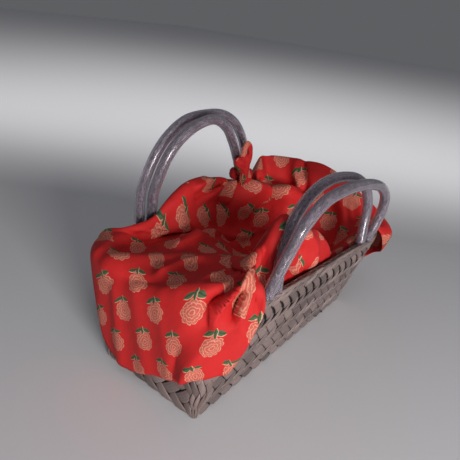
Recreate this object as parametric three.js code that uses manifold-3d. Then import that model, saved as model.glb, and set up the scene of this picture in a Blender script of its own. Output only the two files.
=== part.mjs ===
// Handkerchief bag: a plaited basket with two pairs of clear tube handles, lined by one knotted printed cloth.
// Millimetres, +Z up. The origin is at the middle of the basket's underside, +X along its length.
// The near long wall is at -Y and the near end wall at -X.
import * as THREE from 'three';
import { mergeVertices } from 'three/addons/utils/BufferGeometryUtils.js';
import Module from 'manifold-3d';

const wasm = await Module();
wasm.setup();

// Basket sizes
const BASKET = {
  height: 95.5,
  baseHalfLength: 125,
  baseNear: 57,
  baseNearFarEnd: 43,
  baseFar: 47,
  baseRadius: 4,
  rimNearEnd: 133.5,
  rimFarEnd: 135.5,
  rimHalfWidth: 75,
  rimRadius: 40,
  wall: 2.4,
  floor: 3,
  borderHeight: 24,
  borderOut: 1.4,
  borderIn: 1.2,
  borderStep: 1,
};
const ARC_SHARE = 0.3;
const ARC_STEPS = 6;
const SIDE_STEPS = 4;

// Handle sizes
const HANDLE = {
  tubeRadius: 4.6,
  bore: 3.4,
  coreRadius: 2.8,
  tongueHalfWidth: 3,
  tongueHalfThickness: 1,
  tongueDepth: 12,
  slotGap: 0.35,
  footInset: 2.4,
  footGap: 1,
  slotOver: 1,
  steps: 22,
  sides: 9,
  coreSides: 8,
};

// Cloth sizes
const CLOTH = {
  thickness: 1.6,
  shelfStep: 12,
  stepsPerSection: 3,
  profileSteps: 20,
  foldPieces: 16,
  ridgeFoldShare: 0.3,
  edgeBlend: 4,
};
// Distance under which two points of a mesh count as one
const WELD = 1e-4;
const BOWL = { x: 46, y: 34, z: 52 };

// Shares of the way from the ridge to the bowl's lowest point at which a section states a height
const SHARES = { shelf: 0.12, middle: 0.45, deep: 0.75 };
// Where along a profile its ridge and its shelf come
const RIDGE_AT = 3 / 7;
const SHELF_AT = 4 / 7;

const basketMaterial = new THREE.MeshStandardMaterial({ color: 0x85716a, roughness: 0.5, metalness: 0 });
const tubeMaterial = new THREE.MeshStandardMaterial({ color: 0xc9c6cf, roughness: 0.12, metalness: 0 });
const coreMaterial = new THREE.MeshStandardMaterial({ color: 0x5b4e52, roughness: 0.5, metalness: 0 });
const clothMaterial = new THREE.MeshStandardMaterial({ color: 0xcf2f2c, roughness: 0.85, metalness: 0 });

const lerp = (a, b, t) => a + (b - a) * t;

// The four corners of the basket's outline at a height, anticlockwise from the near left one.
function corners(z) {
  const t = z / BASKET.height;
  const far = lerp(BASKET.baseFar, BASKET.rimHalfWidth, t);
  const near = lerp(BASKET.baseNear, BASKET.rimHalfWidth, t);
  const nearFarEnd = lerp(BASKET.baseNearFarEnd, BASKET.rimHalfWidth, t);
  const nearEnd = lerp(BASKET.baseHalfLength, BASKET.rimNearEnd, t);
  const farEnd = lerp(BASKET.baseHalfLength, BASKET.rimFarEnd, t);
  return [
    new THREE.Vector2(-nearEnd, -near),
    new THREE.Vector2(farEnd, -nearFarEnd),
    new THREE.Vector2(farEnd, far),
    new THREE.Vector2(-nearEnd, far),
  ];
}

// A point of the basket's outline. The place runs from 0 to 4, one unit for each side and the corner that ends it.
function outline(place, z, outward = 0) {
  const at = ((place % 4) + 4) % 4;
  const side = Math.floor(at);
  const along = at - side;
  const c = corners(z);
  const radius = lerp(BASKET.baseRadius, BASKET.rimRadius, Math.max(0, z) / BASKET.height);
  const from = c[side];
  const to = c[(side + 1) % 4];
  const direction = to.clone().sub(from).normalize();
  const normal = new THREE.Vector2(direction.y, -direction.x);
  const straight = 1 - ARC_SHARE;
  if (along < straight) {
    const point = from.clone().addScaledVector(direction, radius);
    const end = to.clone().addScaledVector(direction, -radius);
    point.lerp(end, along / straight).addScaledVector(normal, outward);
    return { point: new THREE.Vector3(point.x, point.y, z), normal: new THREE.Vector3(normal.x, normal.y, 0) };
  }
  const next = c[(side + 2) % 4].clone().sub(to).normalize();
  const centre = to.clone().addScaledVector(direction, -radius).addScaledVector(next, radius);
  const nextNormal = new THREE.Vector2(next.y, -next.x);
  const turn = (along - straight) / ARC_SHARE;
  const arcNormal = normal.multiplyScalar(Math.cos(turn * Math.PI / 2))
    .addScaledVector(nextNormal, Math.sin(turn * Math.PI / 2)).normalize();
  const point = centre.addScaledVector(arcNormal, radius + outward);
  return { point: new THREE.Vector3(point.x, point.y, z), normal: new THREE.Vector3(arcNormal.x, arcNormal.y, 0) };
}

// Places at which a ring of the basket has a point
function ringPlaces() {
  const places = [];
  for (let side = 0; side < 4; side += 1) {
    for (let i = 0; i < SIDE_STEPS; i += 1) {
      places.push(side + (1 - ARC_SHARE) * i / SIDE_STEPS);
    }
    for (let i = 0; i < ARC_STEPS; i += 1) {
      places.push(side + 1 - ARC_SHARE + ARC_SHARE * i / ARC_STEPS);
    }
  }
  return places;
}

// A closed solid through rings of equally many points, each end closed by a fan.
function loft(rings) {
  const positions = [];
  const triangles = [];
  const count = rings[0].length;
  rings.forEach((ring) => ring.forEach((p) => positions.push(p.x, p.y, p.z)));
  const at = (r, i) => r * count + (i % count);
  for (let r = 0; r < rings.length - 1; r += 1) {
    for (let i = 0; i < count; i += 1) {
      triangles.push(at(r, i), at(r, i + 1), at(r + 1, i + 1), at(r, i), at(r + 1, i + 1), at(r + 1, i));
    }
  }
  [0, rings.length - 1].forEach((r) => {
    const middle = new THREE.Vector3();
    rings[r].forEach((p) => middle.addScaledVector(p, 1 / count));
    const hub = positions.length / 3;
    positions.push(middle.x, middle.y, middle.z);
    for (let i = 0; i < count; i += 1) {
      if (r === 0) triangles.push(hub, at(r, i + 1), at(r, i));
      else triangles.push(hub, at(r, i), at(r, i + 1));
    }
  });
  return solid(positions, triangles);
}

// A geometry from points and triangles, turned to face out
function solid(positions, triangles) {
  const geometry = new THREE.BufferGeometry();
  geometry.setAttribute('position', new THREE.Float32BufferAttribute(positions, 3));
  geometry.setIndex(triangles);
  if (volume(geometry) < 0) {
    const index = geometry.index.array;
    for (let i = 0; i < index.length; i += 3) {
      [index[i], index[i + 1]] = [index[i + 1], index[i]];
    }
  }
  return geometry;
}

function volume(geometry) {
  const p = geometry.attributes.position;
  const index = geometry.index.array;
  const v = [0, 1, 2].map(() => new THREE.Vector3());
  let sum = 0;
  for (let i = 0; i < index.length; i += 3) {
    v.forEach((vector, k) => vector.fromBufferAttribute(p, index[i + k]));
    sum += v[0].dot(v[1].clone().cross(v[2])) / 6;
  }
  return sum;
}

function toManifold(geometry) {
  const plain = new THREE.BufferGeometry();
  plain.setAttribute('position', geometry.attributes.position.clone());
  plain.setIndex(geometry.index ? geometry.index.clone() : null);
  const merged = mergeVertices(plain, WELD);
  return new wasm.Manifold(new wasm.Mesh({
    numProp: 3,
    vertProperties: Float32Array.from(merged.attributes.position.array),
    triVerts: Uint32Array.from(merged.index.array),
  }));
}

function fromManifold(manifold) {
  const mesh = manifold.getMesh();
  const geometry = new THREE.BufferGeometry();
  geometry.setAttribute('position', new THREE.Float32BufferAttribute(mesh.vertProperties, 3));
  geometry.setIndex(Array.from(mesh.triVerts));
  return geometry;
}

// The basket, one piece: flat floor, flared walls and a thicker border folded down at the rim.
function basketGeometry() {
  const { height, wall, floor, borderHeight, borderOut, borderIn, borderStep: step } = BASKET;
  const levels = [
    { z: 0, out: -borderOut },
    { z: height - borderHeight - step, out: -borderOut },
    { z: height - borderHeight, out: 0 },
    { z: height, out: 0 },
    { z: height, out: -(borderOut + wall + borderIn) },
    { z: height - borderHeight / 2, out: -(borderOut + wall + borderIn) },
    { z: height - borderHeight / 2 - step, out: -(borderOut + wall) },
    { z: floor, out: -(borderOut + wall) },
  ];
  const places = ringPlaces();
  const rings = levels.map(({ z, out }) => places.map((place) => outline(place, z, out).point));
  let body = toManifold(loft(rings));
  handleFeet().forEach((foot) => {
    body = body.subtract(toManifold(slot(foot)));
  });
  return fromManifold(body);
}

// Handles. Each route is the centre line of one tube from its left foot to its right one.
const ROUTES = {
  nearFront: {
    feet: [-81, 81],
    side: -1,
    points: [
      [-77, -75.5, 113], [-69.5, -78, 131], [-62, -81, 149], [-43, -83.5, 164.5], [-20, -84.5, 168.5],
      [8, -84, 167.5], [38, -83, 163], [66, -81, 154], [85, -79, 141.5], [92, -77, 127], [89.5, -75, 111],
    ],
  },
  nearBack: {
    feet: [-69.5, 69.5],
    side: -1,
    points: [
      [-66, -70.5, 113], [-61, -69, 130], [-53, -67.5, 147.5], [-42, -66.8, 157], [-25, -66, 165],
      [-4, -65.6, 168.5], [21, -65.8, 167], [46, -66.3, 161], [66, -67.5, 149], [75, -69, 130], [73, -70.5, 111],
    ],
  },
  farFront: {
    feet: [-60.5, 62],
    side: 1,
    points: [
      [-64, 66, 113], [-68, 61, 129], [-66.5, 57, 146], [-60.5, 54.5, 163], [-50, 52, 177],
      [-35, 49.8, 187], [-14, 49, 191], [6, 50.5, 182], [21, 54, 168], [36, 58.5, 151], [51, 64, 130],
    ],
  },
  farBack: {
    feet: [-71.5, 73.5],
    side: 1,
    points: [
      [-72.5, 72, 113], [-72.5, 70.5, 131], [-68.5, 69, 146], [-61.5, 67.5, 162], [-50, 66.5, 176],
      [-32, 65.8, 187.5], [-8, 65.4, 191], [16, 65.5, 189.5], [36, 66.3, 181], [52, 67.4, 166], [64, 68.8, 146],
      [70, 70.3, 124],
    ],
  },
};

// The middle of the rim's top under a handle foot, or the same place lower in the wall
function footPoint(x, side, z) {
  const [left, right] = [BASKET.rimRadius - BASKET.rimNearEnd, BASKET.rimFarEnd - BASKET.rimRadius];
  const along = (1 - ARC_SHARE) * (x - left) / (right - left);
  const place = side < 0 ? along : 3 - ARC_SHARE - along;
  return outline(place, z, -HANDLE.footInset).point;
}

function handleFeet() {
  return Object.values(ROUTES).flatMap(({ feet, side }) => feet.map((x) => ({ x, side })));
}

function tubeCurve({ feet, side, points }) {
  const start = footPoint(feet[0], side, BASKET.height + HANDLE.footGap);
  const end = footPoint(feet[1], side, BASKET.height + HANDLE.footGap);
  return new THREE.CatmullRomCurve3([start, ...points.map((p) => new THREE.Vector3(...p)), end], false, 'centripetal');
}

// Rings along a curve. The section is an ellipse whose first half axis stays level with the rim.
function sweepRings(points, tangents, size, sides) {
  return points.map((centre, k) => {
    const tangent = tangents[k];
    const across = new THREE.Vector3(0, 1, 0);
    across.addScaledVector(tangent, -across.dot(tangent)).normalize();
    const along = new THREE.Vector3().crossVectors(across, tangent).normalize();
    const { wide, deep } = size(k);
    return Array.from({ length: sides }, (_, i) => {
      const angle = 2 * Math.PI * i / sides;
      return centre.clone().addScaledVector(along, wide * Math.cos(angle)).addScaledVector(across, deep * Math.sin(angle));
    });
  });
}

function curveFrames(curve, steps) {
  const points = curve.getSpacedPoints(steps);
  const tangents = points.map((_, k) => curve.getTangentAt(k / steps));
  return { points, tangents };
}

// A tube. Its ends are cut level, a small gap above the rim.
function tubeGeometry(route) {
  const { points, tangents } = curveFrames(tubeCurve(route), HANDLE.steps);
  tangents[0].set(0, 0, 1);
  tangents[HANDLE.steps].set(0, 0, -1);
  const round = (radius) => sweepRings(points, tangents, () => ({ wide: radius, deep: radius }), HANDLE.sides);
  const outer = round(HANDLE.tubeRadius);
  const inner = round(HANDLE.bore).reverse();
  return ringSolid([...outer, ...inner]);
}

// A closed solid whose rings run round and meet again, as a tube's wall does.
function ringSolid(rings) {
  const positions = [];
  const triangles = [];
  const count = rings[0].length;
  rings.forEach((ring) => ring.forEach((p) => positions.push(p.x, p.y, p.z)));
  const at = (r, i) => (r % rings.length) * count + (i % count);
  for (let r = 0; r < rings.length; r += 1) {
    for (let i = 0; i < count; i += 1) {
      triangles.push(at(r, i), at(r, i + 1), at(r + 1, i + 1), at(r, i), at(r + 1, i + 1), at(r + 1, i));
    }
  }
  return solid(positions, triangles);
}

// The core fills the tube and ends in two flat tongues held in the rim's slots.
function coreGeometry(route) {
  const { points, tangents } = curveFrames(tubeCurve(route), HANDLE.steps);
  const round = { wide: HANDLE.coreRadius, deep: HANDLE.coreRadius };
  const flat = { wide: HANDLE.tongueHalfWidth, deep: HANDLE.tongueHalfThickness };
  const depth = BASKET.height - HANDLE.tongueDepth;
  const down = (x) => footPoint(x, route.side, BASKET.height).sub(footPoint(x, route.side, depth)).normalize();
  const [leftDown, rightDown] = route.feet.map(down);
  const allPoints = [footPoint(route.feet[0], route.side, depth), ...points, footPoint(route.feet[1], route.side, depth)];
  const allTangents = [leftDown, leftDown, ...tangents.slice(1, -1), rightDown.clone().negate(), rightDown.clone().negate()];
  const last = allPoints.length - 1;
  const size = (k) => (k < 2 || k > last - 2 ? flat : round);
  return loft(sweepRings(allPoints, allTangents, size, HANDLE.coreSides));
}

function slot({ x, side }) {
  const { tongueHalfWidth, tongueHalfThickness, slotGap, tongueDepth } = HANDLE;
  const bottom = footPoint(x, side, BASKET.height - tongueDepth - slotGap);
  const top = footPoint(x, side, BASKET.height + HANDLE.slotOver);
  const length = top.distanceTo(bottom);
  const box = new THREE.BoxGeometry(
    2 * (tongueHalfWidth + slotGap), 2 * (tongueHalfThickness + slotGap), length);
  const up = top.clone().sub(bottom).normalize();
  const middle = top.clone().add(bottom).multiplyScalar(0.5);
  box.applyQuaternion(new THREE.Quaternion().setFromUnitVectors(new THREE.Vector3(0, 0, 1), up));
  box.translate(middle.x, middle.y, middle.z);
  return box;
}

// Cloth sections, anticlockwise round the rim from the near left handle foot.
// place: place along the rim. inset and top: how far inside the rim's edge its ridge lies, and its height.
// out and hem: how far outside the rim's edge the hem lies (inside if negative), and its height.
// lean: how much further along the rim the hem lies than the ridge.
// shelf, middle, deep: height of the inside at three shares of the way to the bowl's lowest point.
const SECTIONS = [
  { place: 0.035, inset: 21, top: 117, out: -17, lean: 0, hem: 98, shelf: 103, middle: 94, deep: 66 },
  { place: 0.09, inset: 20, top: 123, out: -13, lean: 0, hem: 92, shelf: 102, middle: 92, deep: 64 },
  { place: 0.12, inset: 19, top: 136, out: -11, lean: 0, hem: 91, shelf: 106, middle: 93, deep: 63 },
  { place: 0.15, inset: 18, top: 144, out: -10, lean: 0, hem: 90, shelf: 112, middle: 91, deep: 62 },
  { place: 0.215, inset: 17, top: 140, out: -9, lean: 0, hem: 90, shelf: 112, middle: 90, deep: 62 },
  { place: 0.28, inset: 15, top: 128, out: -9, lean: 0, hem: 90, shelf: 108, middle: 86, deep: 60 },
  { place: 0.34, inset: 14, top: 124, out: -9, lean: 0, hem: 90, shelf: 104, middle: 80, deep: 58 },
  { place: 0.42, inset: 13, top: 108, out: -9, lean: 0, hem: 88, shelf: 86, middle: 74, deep: 58 },
  { place: 0.47, inset: 13, top: 94, out: -9, lean: 0, hem: 86, shelf: 78, middle: 72, deep: 58 },
  { place: 0.55, inset: 13, top: 91, out: -9, lean: 0, hem: 82, shelf: 74, middle: 72, deep: 58 },
  { place: 0.66, inset: 12, top: 98, out: -9, lean: 0, hem: 92, shelf: 80, middle: 74, deep: 58 },
  { place: 0.7, inset: 9, top: 103, out: -8, lean: 0, hem: 100, shelf: 84, middle: 76, deep: 59 },
  { place: 0.74, inset: 3, top: 105, out: 1, lean: 0, hem: 101, shelf: 89, middle: 78, deep: 60 },
  { place: 0.8, inset: -4, top: 103, out: 14, lean: 0, hem: 75, shelf: 94, middle: 80, deep: 61 },
  { place: 0.89, inset: -6, top: 107, out: 19, lean: 0, hem: 60, shelf: 98, middle: 84, deep: 62 },
  { place: 1.0, inset: -1, top: 120, out: 18, lean: 0, hem: 36, shelf: 106, middle: 90, deep: 64 },
  { place: 1.2, inset: 4, top: 133, out: 12, lean: 0, hem: 34, shelf: 110, middle: 94, deep: 66 },
  { place: 1.45, inset: 8, top: 141, out: 10, lean: 0, hem: 34, shelf: 112, middle: 100, deep: 70 },
  { place: 1.68, inset: 8, top: 139, out: 8, lean: 0, hem: 40, shelf: 110, middle: 102, deep: 72 },
  { place: 1.85, inset: 3, top: 137, out: 6, lean: 0, hem: 50, shelf: 108, middle: 102, deep: 72 },
  { place: 1.97, inset: 3, top: 138, out: 6, lean: 0, hem: 66, shelf: 106, middle: 100, deep: 70 },
  { place: 2.02, inset: 8, top: 131, out: 1, lean: 0, hem: 103, shelf: 106, middle: 98, deep: 68 },
  { place: 2.085, inset: 18, top: 114, out: -14, lean: 0, hem: 102, shelf: 100, middle: 86, deep: 62 },
  { place: 2.145, inset: 20, top: 119, out: -15, lean: 0, hem: 104, shelf: 102, middle: 78, deep: 60 },
  { place: 2.21, inset: 16, top: 124, out: -12, lean: 0, hem: 104, shelf: 105, middle: 76, deep: 58 },
  { place: 2.28, inset: 13, top: 128, out: -10, lean: 0, hem: 105, shelf: 107, middle: 76, deep: 58 },
  { place: 2.37, inset: 12, top: 131, out: -9, lean: 0, hem: 106, shelf: 108, middle: 76, deep: 58 },
  { place: 2.45, inset: 13, top: 130, out: -10, lean: 0, hem: 106, shelf: 108, middle: 78, deep: 60 },
  { place: 2.54, inset: 17, top: 121, out: -14, lean: 0, hem: 103, shelf: 104, middle: 82, deep: 62 },
  { place: 2.62, inset: 19, top: 109, out: -16, lean: 0, hem: 99, shelf: 98, middle: 86, deep: 64 },
  { place: 2.69, inset: 15, top: 105, out: -11, lean: 0, hem: 98, shelf: 98, middle: 87, deep: 66 },
  { place: 2.76, inset: 4, top: 100.6, out: 3, lean: 0, hem: 98, shelf: 97, middle: 92, deep: 72 },
  { place: 2.84, inset: 1, top: 99.6, out: 4.5, lean: 0, hem: 70, shelf: 97, middle: 94, deep: 74 },
  { place: 2.94, inset: 1, top: 99.4, out: 5, lean: 0, hem: 40, shelf: 97, middle: 95, deep: 76 },
  { place: 3.05, inset: 1, top: 99.4, out: 5, lean: 0, hem: 17, shelf: 97, middle: 95.5, deep: 76 },
  { place: 3.25, inset: 1.5, top: 99.8, out: 5.5, lean: 0, hem: 11, shelf: 98, middle: 95.5, deep: 74 },
  { place: 3.45, inset: 2, top: 101, out: 5, lean: 0, hem: 22.5, shelf: 98, middle: 95.5, deep: 70 },
  { place: 3.62, inset: 3, top: 105.5, out: 5, lean: 0, hem: 30, shelf: 100, middle: 96, deep: 68 },
  { place: 3.76, inset: 4, top: 111, out: 5, lean: 0, hem: 39.5, shelf: 103, middle: 96, deep: 66 },
  { place: 3.87, inset: 5, top: 114, out: 5, lean: 0.01, hem: 46, shelf: 105, middle: 96, deep: 66 },
  { place: 3.93, inset: 6, top: 115, out: 4, lean: 0.025, hem: 51.5, shelf: 106, middle: 96, deep: 66 },
  { place: 3.965, inset: 8, top: 116, out: 4, lean: 0.04, hem: 60, shelf: 106, middle: 96, deep: 66 },
  { place: 3.99, inset: 13, top: 116, out: 1.6, lean: 0.005, hem: 101.5, shelf: 105, middle: 96, deep: 66 },
];

// Folds inside the bowl, seen in plan: each a soft ridge, or a trough if its height is negative, along a bent line.
const INNER_FOLDS = [
  { fromX: -66, fromY: 26, viaX: -12, viaY: 20, toX: 56, toY: 2, width: 6, height: 5 },
  { fromX: -20, fromY: -44, viaX: 30, viaY: -30, toX: 80, toY: -6, width: 12, height: 9 },
  { fromX: 84, fromY: 8, viaX: 98, viaY: 24, toX: 96, toY: 50, width: 12, height: 8 },
  { fromX: -34, fromY: -14, viaX: -4, viaY: -12, toX: 18, toY: -2, width: 8, height: -9 },
  { fromX: 46, fromY: -46, viaX: 76, viaY: -44, toX: 104, toY: -18, width: 15, height: -8 },
  { fromX: 98, fromY: 64, viaX: 112, viaY: 48, toX: 124, toY: 24, width: 7, height: -9 },
  { fromX: 56, fromY: 54, viaX: 40, viaY: 46, toX: 26, toY: 36, width: 5, height: 5 },
  { fromX: 46, fromY: 58, viaX: 20, viaY: 54, toX: -14, toY: 44, width: 6, height: 5 },
  { fromX: 44, fromY: 63, viaX: 10, viaY: 63, toX: -24, toY: 60, width: 4, height: -5 },
];

// Folds of the outside, along the rim: each leans as it goes down from the ridge to the hem.
const OUTER_FOLDS = [
  { place: 4.03, lean: -0.1, width: 0.025, height: 4 },
  { place: 3.975, lean: -0.24, width: 0.03, height: 4 },
  { place: 3.93, lean: -0.3, width: 0.03, height: -2 },
  { place: 3.8, lean: -0.06, width: 0.05, height: 2 },
  { place: 3.6, lean: 0.03, width: 0.06, height: 3 },
  { place: 3.35, lean: 0.05, width: 0.06, height: 3.5 },
  { place: 3.14, lean: 0.04, width: 0.05, height: 2.5 },
];

// The knot round the right legs of the far handle: a wrap and strands of gathered cloth, by their centre lines.
const KNOT = {
  x: 60.5,
  y: 67,
  z: 125,
  halfLong: 21.8,
  halfShort: 10.6,
  turn: 18,
  tilt: 10,
  halfHeight: 5.2,
  halfDepth: 4,
  steps: 20,
  strandSteps: 12,
  sides: 8,
};
const STRANDS = [
  {
    name: 'neck',
    wide: 6,
    deep: 4.5,
    points: [[68, 54, 106], [61, 54, 112], [54, 52, 119], [46, 50, 129], [37, 47.5, 139], [28, 46, 146], [21, 46, 150]],
  },
  { name: 'cross', wide: 5, deep: 3.8, points: [[50, 55, 116], [43, 51, 125], [37, 46, 136], [36, 45, 146], [38, 46, 154]] },
  {
    name: 'loop',
    wide: 3.4,
    deep: 2.6,
    points: [[33, 45, 144], [30, 45, 154], [33, 46, 163], [39, 47, 165], [43, 47, 158], [42, 47, 148], [42, 48, 136]],
  },
];

// Periodic smooth interpolation of a section column
function sectionValue(column, index) {
  const count = SECTIONS.length;
  const i = Math.floor(index);
  const t = index - i;
  const value = (k) => {
    const wrapped = ((k % count) + count) % count;
    const turns = column === 'place' ? 4 * Math.floor(k / count) : 0;
    return SECTIONS[wrapped][column] + turns;
  };
  const [p0, p1, p2, p3] = [i - 1, i, i + 1, i + 2].map(value);
  const m1 = (p2 - p0) / 2;
  const m2 = (p3 - p1) / 2;
  const t2 = t * t;
  const t3 = t2 * t;
  return (2 * t3 - 3 * t2 + 1) * p1 + (t3 - 2 * t2 + t) * m1 + (-2 * t3 + 3 * t2) * p2 + (t3 - t2) * m2;
}

// The profile of the cloth at a section, from its hem over the ridge to the bowl's lowest point
function profile(index) {
  const get = (column) => sectionValue(column, index);
  const place = get('place');
  const top = get('top');
  const hem = get('hem');
  const out = get('out');
  const ridge = outline(place, BASKET.height, -get('inset')).point.setZ(top);
  const half = lerp(hem, top, 0.5);
  const overEdge = THREE.MathUtils.smoothstep(out, -CLOTH.edgeBlend, CLOTH.edgeBlend);
  const beside = lerp(half, Math.max(half, BASKET.height - 1), overEdge);
  const outside = (z, extra) => {
    const lean = get('lean') * (beside - z) / (beside - hem);
    return outline(place + lean, Math.min(z, BASKET.height), out + extra).point.setZ(z);
  };
  const bowl = new THREE.Vector3(BOWL.x, BOWL.y, BOWL.z);
  const { normal } = outline(place, BASKET.height);
  const inside = (share, z, step = 0) => ridge.clone().lerp(bowl, share).addScaledVector(normal, -step).setZ(z);
  return new THREE.CatmullRomCurve3([
    outside(hem, 0),
    outside(lerp(hem, beside, 0.5), 1),
    outside(beside, 0),
    ridge,
    inside(SHARES.shelf, get('shelf'), CLOTH.shelfStep),
    inside(SHARES.middle, get('middle')),
    inside(SHARES.deep, get('deep')),
    bowl,
  ], false, 'centripetal');
}

// A closed sheet of even thickness round a periodic grid whose last row is one point.
function sheetGeometry(grid, thickness) {
  const rows = grid.length;
  const steps = grid[0].length;
  const wrap = (i) => (i + rows) % rows;
  const positions = [];
  const index = [[], []];
  for (let i = 0; i < rows; i += 1) {
    for (let j = 0; j < steps - 1; j += 1) {
      const around = grid[wrap(i + 1)][j].clone().sub(grid[wrap(i - 1)][j]);
      const along = grid[i][j + 1].clone().sub(grid[i][Math.max(j - 1, 0)]);
      const normal = new THREE.Vector3().crossVectors(around, along).normalize();
      [0.5, -0.5].forEach((half, face) => {
        const p = grid[i][j].clone().addScaledVector(normal, half * thickness);
        index[face].push(positions.length / 3);
        positions.push(p.x, p.y, p.z);
      });
    }
  }
  const pole = grid[0][steps - 1];
  const poles = [0.5, -0.5].map((half) => {
    positions.push(pole.x, pole.y, pole.z + half * thickness);
    return positions.length / 3 - 1;
  });
  const at = (face, i, j) => index[face][wrap(i) * (steps - 1) + j];
  const triangles = [];
  for (let i = 0; i < rows; i += 1) {
    for (let j = 0; j < steps - 2; j += 1) {
      const [a, b, c, d] = [at(0, i, j), at(0, i + 1, j), at(0, i + 1, j + 1), at(0, i, j + 1)];
      triangles.push(a, b, c, a, c, d);
      const [e, f, g, h] = [at(1, i, j), at(1, i + 1, j), at(1, i + 1, j + 1), at(1, i, j + 1)];
      triangles.push(e, g, f, e, h, g);
    }
    const j = steps - 2;
    triangles.push(at(0, i, j), at(0, i + 1, j), poles[0]);
    triangles.push(at(1, i + 1, j), at(1, i, j), poles[1]);
    triangles.push(at(0, i + 1, 0), at(0, i, 0), at(1, i, 0), at(0, i + 1, 0), at(1, i, 0), at(1, i + 1, 0));
  }
  return solid(positions, triangles);
}

// The line of an inner fold as short straight pieces
function foldLine({ fromX, fromY, viaX, viaY, toX, toY }) {
  const [from, via, to] = [[fromX, fromY], [viaX, viaY], [toX, toY]].map((p) => new THREE.Vector2(...p));
  return new THREE.QuadraticBezierCurve(from, via, to).getPoints(CLOTH.foldPieces);
}

const innerLines = INNER_FOLDS.map((fold) => ({ ...fold, line: foldLine(fold) }));

// Height that the inner folds add at a point
function innerFold(x, y) {
  return innerLines.reduce((sum, { line, width, height }) => {
    const distance = Math.min(...line.map((p) => Math.hypot(x - p.x, y - p.y)));
    return sum + height * Math.exp(-((distance / width) ** 2));
  }, 0);
}

// How far the outer folds stand out at a place, with 0 at the ridge and 1 at the hem
function outerFold(place, down) {
  return OUTER_FOLDS.reduce((sum, { place: at, lean, width, height }) => {
    const off = ((place - at - lean * down + 6) % 4) - 2;
    return sum + height * Math.exp(-((off / width) ** 2)) * Math.min(1, CLOTH.ridgeFoldShare + down);
  }, 0);
}

const smooth = (t) => THREE.MathUtils.smoothstep(t, 0, 1);

// The middle surface of the cloth: a row of points for each section, from the hem to the bowl's lowest point
function clothGrid() {
  const grid = [];
  const count = SECTIONS.length * CLOTH.stepsPerSection;
  for (let i = 0; i < count; i += 1) {
    const section = i / CLOTH.stepsPerSection;
    const curve = profile(section);
    const place = sectionValue('place', section);
    const { normal } = outline(place, BASKET.height);
    grid.push(Array.from({ length: CLOTH.profileSteps + 1 }, (_, j) => {
      const t = j / CLOTH.profileSteps;
      const point = curve.getPoint(t);
      const down = Math.max(0, 1 - t / RIDGE_AT);
      if (down > 0) point.addScaledVector(normal, outerFold(place, down));
      const inward = smooth((t - RIDGE_AT) / (SHELF_AT - RIDGE_AT));
      point.z += inward * innerFold(point.x, point.y);
      return point;
    }));
  }
  return grid;
}

// The wrap of cloth that goes once round both legs
function wrapGeometry() {
  const turn = THREE.MathUtils.degToRad(KNOT.turn);
  const tilt = THREE.MathUtils.degToRad(KNOT.tilt);
  const points = Array.from({ length: KNOT.steps }, (_, k) => {
    const angle = 2 * Math.PI * k / KNOT.steps;
    const point = new THREE.Vector3(KNOT.halfLong * Math.cos(angle), KNOT.halfShort * Math.sin(angle), 0);
    point.applyAxisAngle(new THREE.Vector3(0, 1, 0), tilt).applyAxisAngle(new THREE.Vector3(0, 0, 1), turn);
    return point.add(new THREE.Vector3(KNOT.x, KNOT.y, KNOT.z));
  });
  const rings = points.map((centre, k) => {
    const tangent = points[(k + 1) % KNOT.steps].clone().sub(points[(k + KNOT.steps - 1) % KNOT.steps]).normalize();
    const up = new THREE.Vector3(0, 0, 1).addScaledVector(tangent, -tangent.z).normalize();
    const outward = new THREE.Vector3().crossVectors(up, tangent).normalize();
    return Array.from({ length: KNOT.sides }, (_, i) => {
      const angle = 2 * Math.PI * i / KNOT.sides;
      return centre.clone().addScaledVector(up, KNOT.halfHeight * Math.cos(angle))
        .addScaledVector(outward, KNOT.halfDepth * Math.sin(angle));
    });
  });
  return ringSolid(rings);
}

function strandGeometry({ points, wide, deep }) {
  const curve = new THREE.CatmullRomCurve3(points.map((p) => new THREE.Vector3(...p)), false, 'centripetal');
  const frames = curveFrames(curve, KNOT.strandSteps);
  return loft(sweepRings(frames.points, frames.tangents, () => ({ wide, deep }), KNOT.sides));
}

function clothGeometry() {
  let body = toManifold(sheetGeometry(clothGrid(), CLOTH.thickness));
  [wrapGeometry(), ...STRANDS.map(strandGeometry)].forEach((geometry) => {
    body = body.add(toManifold(geometry));
  });
  return fromManifold(body);
}

const part = new THREE.Group();
function add(name, geometry, material) {
  const mesh = new THREE.Mesh(geometry, material);
  mesh.name = name;
  part.add(mesh);
}

add('basket', basketGeometry(), basketMaterial);
Object.entries({
  near_front: ROUTES.nearFront,
  near_back: ROUTES.nearBack,
  far_front: ROUTES.farFront,
  far_back: ROUTES.farBack,
}).forEach(([name, route]) => {
  add(`tube_${name}`, tubeGeometry(route), tubeMaterial);
  add(`core_${name}`, coreGeometry(route), coreMaterial);
});
add('cloth', clothGeometry(), clothMaterial);

export default part;
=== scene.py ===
"""Looks of the handkerchief bag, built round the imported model.

Lengths are millimetres until a mesh is made.
"""
import math

import bpy
import numpy as np
from mathutils import Matrix


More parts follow.
